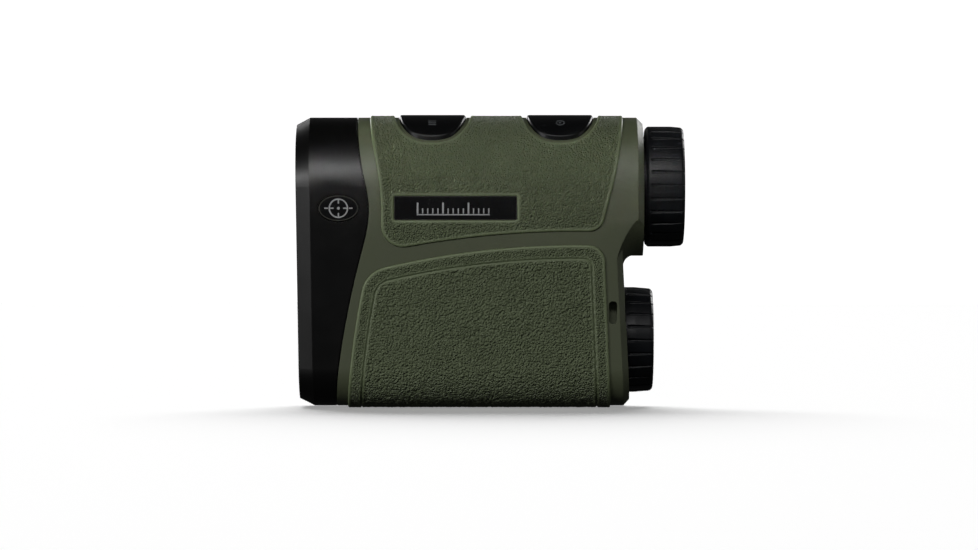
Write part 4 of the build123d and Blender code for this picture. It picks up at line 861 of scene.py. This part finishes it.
def finishes(grips):
    """One material for each material slot of the record."""
    glass = dict(Transmission_Weight=1.0, IOR=1.52)
    # magnesium-fluoride coated glass: a purple reflection over a faint two-tone body
    coated, tree, body = shader("coated_optical_glass", Roughness=0.02, Coat_Weight=0.6, Coat_Roughness=0.02,
                                Specular_Tint=linear("C08AE0"), Thin_Film_Thickness=420.0, Thin_Film_IOR=1.38, **glass)
    place = add(tree, "ShaderNodeTexCoord").outputs["Object"]
    cloud = add(tree, "ShaderNodeTexNoise", {"Vector": place, "Scale": 120.0, "Detail": 2.0})
    tone = add(tree, "ShaderNodeMix", {0: cloud, 6: linear("B9A9D6"), 7: linear("A7C8C2")}, data_type="RGBA")
    plug(tree, body, {"Base Color": tone.outputs[2]})
    return {
        # spark-eroded ABS: matt olive with a fine even tooth
        "housing_plastic": moulded("spark_eroded_olive_abs", "4F553F", "474C39", 0.46, 0.56, 0.16, 0.022,
                                   0.25, IOR=1.49),
        # satin ABS: near-black with a broad soft highlight
        "bezel_plastic": moulded("satin_black_abs", "080808", "050505", 0.34, 0.4, 0.14, 0.005, 0.2,
                                 IOR=1.49, Specular_IOR_Level=0.3),
        # lacquered ABS: deep black gloss with faint orange peel
        "black_trim": moulded("lacquered_black_abs", "101112", "0A0A0B", 0.16, 0.26, 0.35, 0.008,
                              IOR=1.5, Coat_Weight=0.3),
        # silicone rubber: satin black with a dry micro-texture
        "button_rubber": moulded("satin_black_silicone", "0A0B0C", "060708", 0.3, 0.38, 0.12, 0.014,
                                 IOR=1.43, Specular_IOR_Level=0.3),
        # raw silicone: milky grey, slightly waxy
        "silicone": moulded("grey_silicone", "8A8B8D", "77787A", 0.45, 0.6, 0.3, 0.01, IOR=1.41,
                            Subsurface_Weight=0.1, Subsurface_Scale=0.001),
        # glass-epoxy board under green solder mask: glossy, with the weave just showing
        "board_laminate": moulded("green_solder_mask", "1E5A32", "17492A", 0.2, 0.32, 0.5, 0.012,
                                  IOR=1.55, Coat_Weight=0.4),
        # transfer-moulded epoxy: dull black with a sandy tooth
        "chip_resin": moulded("moulded_epoxy_resin", "1C1C1D", "131314", 0.5, 0.65, 0.12, 0.012, IOR=1.55),
        # black anodised aluminium: turned rings under a soft dark sheen
        "anodised_metal": turned_metal("black_anodised_aluminium", "2A2A2C", "1F1F21", 0.32, 0.46, 0.25),
        # moulded nylon: dark grey and waxy, with faint flow marks
        "nylon": moulded("moulded_nylon", "2A2B2C", "202122", 0.38, 0.5, 0.25, 0.012, 0.12, IOR=1.53),
        # satin EPDM: soft cool black
        "ring_rubber": moulded("satin_epdm_rubber", "17191C", "101114", 0.45, 0.58, 0.2, 0.02, IOR=1.52),
        # zinc plating, blue passivated: bright with a bluish bloom
        "zinc_steel": turned_metal("zinc_plated_steel", "B9BEC4", "A2A9B2", 0.22, 0.36, 0.2),
        # polished optical glass: clear, with a faint green body
        "optical_glass": moulded("polished_optical_glass", "E9F3EC", "E2EFE8", 0.01, 0.03, 2.0, 0.0005,
                                 **glass),
        "coated_glass": coated,
        # the same olive rubber as the panels that replace these pieces
        "grip_rubber": grip_rubber(grips),
        # nickel-plated spring steel: warm and bright
        "spring_steel": turned_metal("nickel_plated_spring_steel", "C3BAA6", "AFA692", 0.2, 0.32, 0.2),
        # nickel-plated can: cool silver
        "cell_can": turned_metal("nickel_plated_can", "C4C4C2", "B0B0AE", 0.2, 0.34, 0.3),
        # printed heat-shrink film: glossy dark blue with slight waves
        "cell_wrap": moulded("printed_shrink_film", "22385C", "1B2E4D", 0.18, 0.28, 1.2, 0.02, IOR=1.5,
                             Coat_Weight=0.5),
        # glass-filled nylon: dull dark grey with fibre marks
        "cast_frame": moulded("glass_filled_nylon", "26272A", "1C1D1F", 0.5, 0.64, 0.3, 0.02, 0.1,
                              IOR=1.53),
    }


class RANGEFINDER_OT_finishes(bpy.types.Operator):
    """Gives every remaining piece of the frame the finish of its material slot"""
    bl_idname = "rangefinder.finishes"
    bl_label = "Finishes"

    def execute(self, context):
        made = finishes(context.scene.rangefinder_grips)
        for part in frame["record"]["subparts"]:
            mesh = frame["nodes"][part["node"]].data
            mesh.materials.clear()
            mesh.materials.append(made[part["material_slot"]])
        return {"FINISHED"}


# ---------------- studio
class RANGEFINDER_OT_studio(bpy.types.Operator):
    """Pale floor, soft lights and the camera"""
    bl_idname = "rangefinder.studio"
    bl_label = "Studio"

    def execute(self, context):
        settings = context.scene.rangefinder_studio
        scene = context.scene
        scene.view_settings.view_transform = "Standard"
        self.camera(scene)
        floor, wall = self.stage()
        world = bpy.data.worlds.new("soft sky")
        world.use_nodes = True
        sky = world.node_tree.nodes["Background"].inputs
        sky["Color"].default_value, sky["Strength"].default_value = linear("FFFFFF"), settings.ambient
        scene.world = world
        aim = Vector((0, 0, 0.04))
        # the floor has a light of its own, so the pale ground costs the body none of its shape
        ground, others = (bpy.data.collections.new(name) for name in ("floor light receivers", "all but the floor"))
        for made in (floor, wall):
            ground.objects.link(made)
            others.objects.link(made)
        for link in others.collection_objects:
            link.light_linking.link_state = "EXCLUDE"
        # name, place, what it points at, width and height, power, spread in degrees
        wide = 180
        for name, at, target, size, strength, spread in (
                ("key", aim + Vector((-0.1, -0.64, 0.42)), aim, (0.5, 0.1), settings.key, wide),
                ("side", aim + Vector((-0.62, -0.46, 0.17)), aim + Vector((0, 0, 0.01)), (0.22, 0.1),
                 settings.side, wide),
                ("strip", Vector((-0.05, -0.66, 0.32)), Vector((0, -0.016, 0.061)), (0.3, 0.012), settings.strip, 3),
                ("right", aim + Vector((0.72, -0.2, 0.14)), aim + Vector((0.04, 0, 0)), (0.15, 0.15),
                 settings.right, wide),
                ("far_left", aim + Vector((-0.5, 0.7, 0.3)), aim, (0.4, 0.3), settings.back, wide),
                ("far_right", aim + Vector((0.55, 0.6, 0.35)), aim, (0.4, 0.3), settings.back, wide)):
            data = bpy.data.lights.new(name, "AREA")
            data.shape, data.energy, data.spread = "RECTANGLE", strength, radians(spread)
            data.size, data.size_y = size
            light = plain_object(name, data)
            light.location = at
            light.rotation_euler = (target - at).to_track_quat("-Z", "Y").to_euler()
            light.light_linking.receiver_collection = others
        data = bpy.data.lights.new("floor_sun", "SUN")
        data.energy, data.angle = 3.4, radians(50)
        sun = plain_object("floor_sun", data)
        sun.rotation_euler = (radians(-50), 0, radians(4))
        sun.light_linking.receiver_collection = ground
        return {"FINISHED"}

    def camera(self, scene):
        data = bpy.data.cameras.new("camera")
        data.sensor_width, data.lens = 36.0, 154.6
        data.clip_start, data.clip_end = 0.01, 30
        made = plain_object("camera", data)
        made.location = (-0.00025, -1.05, 0.0329)
        made.rotation_euler = (pi / 2, 0, 0)
        scene.camera = made

    def stage(self):
        """Round floor, and a pale wall far behind it."""
        around, made = 96, []
        for name, glow, profile in (
                ("studio_floor", 0.3, [(0.0, 0.0), (0.3, 0.0), (1.2, 0.0), (3.0, 0.0), (4.0, 0.0)]),
                ("studio_wall", 1.1, [(4.0, -0.02), (4.0, 2.5), (3.0, 3.6), (0.5, 4.0)])):
            points = [(r * cos(tau * k / around), r * sin(tau * k / around), z)
                      for r, z in profile for k in range(around)]
            faces = [(a + k, a + (k + 1) % around, a + around + (k + 1) % around, a + around + k)
                     for a in range(0, (len(profile) - 1) * around, around) for k in range(around)]
            mesh = bpy.data.meshes.new(name)
            mesh.from_pydata(points, [], faces)
            piece = plain_object(name, mesh)
            mesh.materials.append(shader("matt_white_" + name, Base_Color=linear("F4F4F4"), Roughness=0.9,
                                         Specular_IOR_Level=0.1, Emission_Color=linear("FFFFFF"),
                                         Emission_Strength=glow)[0])
            piece.visible_diffuse = piece.visible_glossy = piece.visible_transmission = piece.visible_shadow = False
            made.append(piece)
        return made


# ---------------- add-on
GROUPS = {"rangefinder_grips": RangefinderGrips, "rangefinder_rings": RangefinderRings,
          "rangefinder_trim": RangefinderTrim, "rangefinder_studio": RangefinderStudio}
OPERATORS = (RANGEFINDER_OT_studio, RANGEFINDER_OT_finishes, RANGEFINDER_OT_grips, RANGEFINDER_OT_rings,
             RANGEFINDER_OT_trim, RANGEFINDER_OT_icons)


class RANGEFINDER_PT_panel(bpy.types.Panel):
    """Sizes, colours and steps of the rangefinder's finishes"""
    bl_idname = "RANGEFINDER_PT_panel"
    bl_label = "Rangefinder"
    bl_space_type = "VIEW_3D"
    bl_region_type = "UI"
    bl_category = "Rangefinder"

    def draw(self, context):
        for name, group in GROUPS.items():
            box = self.layout.box()
            for key in group.__annotations__:
                box.prop(getattr(context.scene, name), key)
        for operator in OPERATORS:
            self.layout.operator(operator.bl_idname)


def register():
    for cls in (*GROUPS.values(), *OPERATORS, RANGEFINDER_PT_panel):
        bpy.utils.register_class(cls)
    for name, group in GROUPS.items():
        setattr(bpy.types.Scene, name, PointerProperty(type=group))


def unregister():
    for name in GROUPS:
        delattr(bpy.types.Scene, name)
    for cls in reversed((*GROUPS.values(), *OPERATORS, RANGEFINDER_PT_panel)):
        bpy.utils.unregister_class(cls)


def main():
    register()
    for operator in OPERATORS:
        group, action = operator.bl_idname.split(".")
        getattr(getattr(bpy.ops, group), action)()


if __name__ == "__main__":
    main()
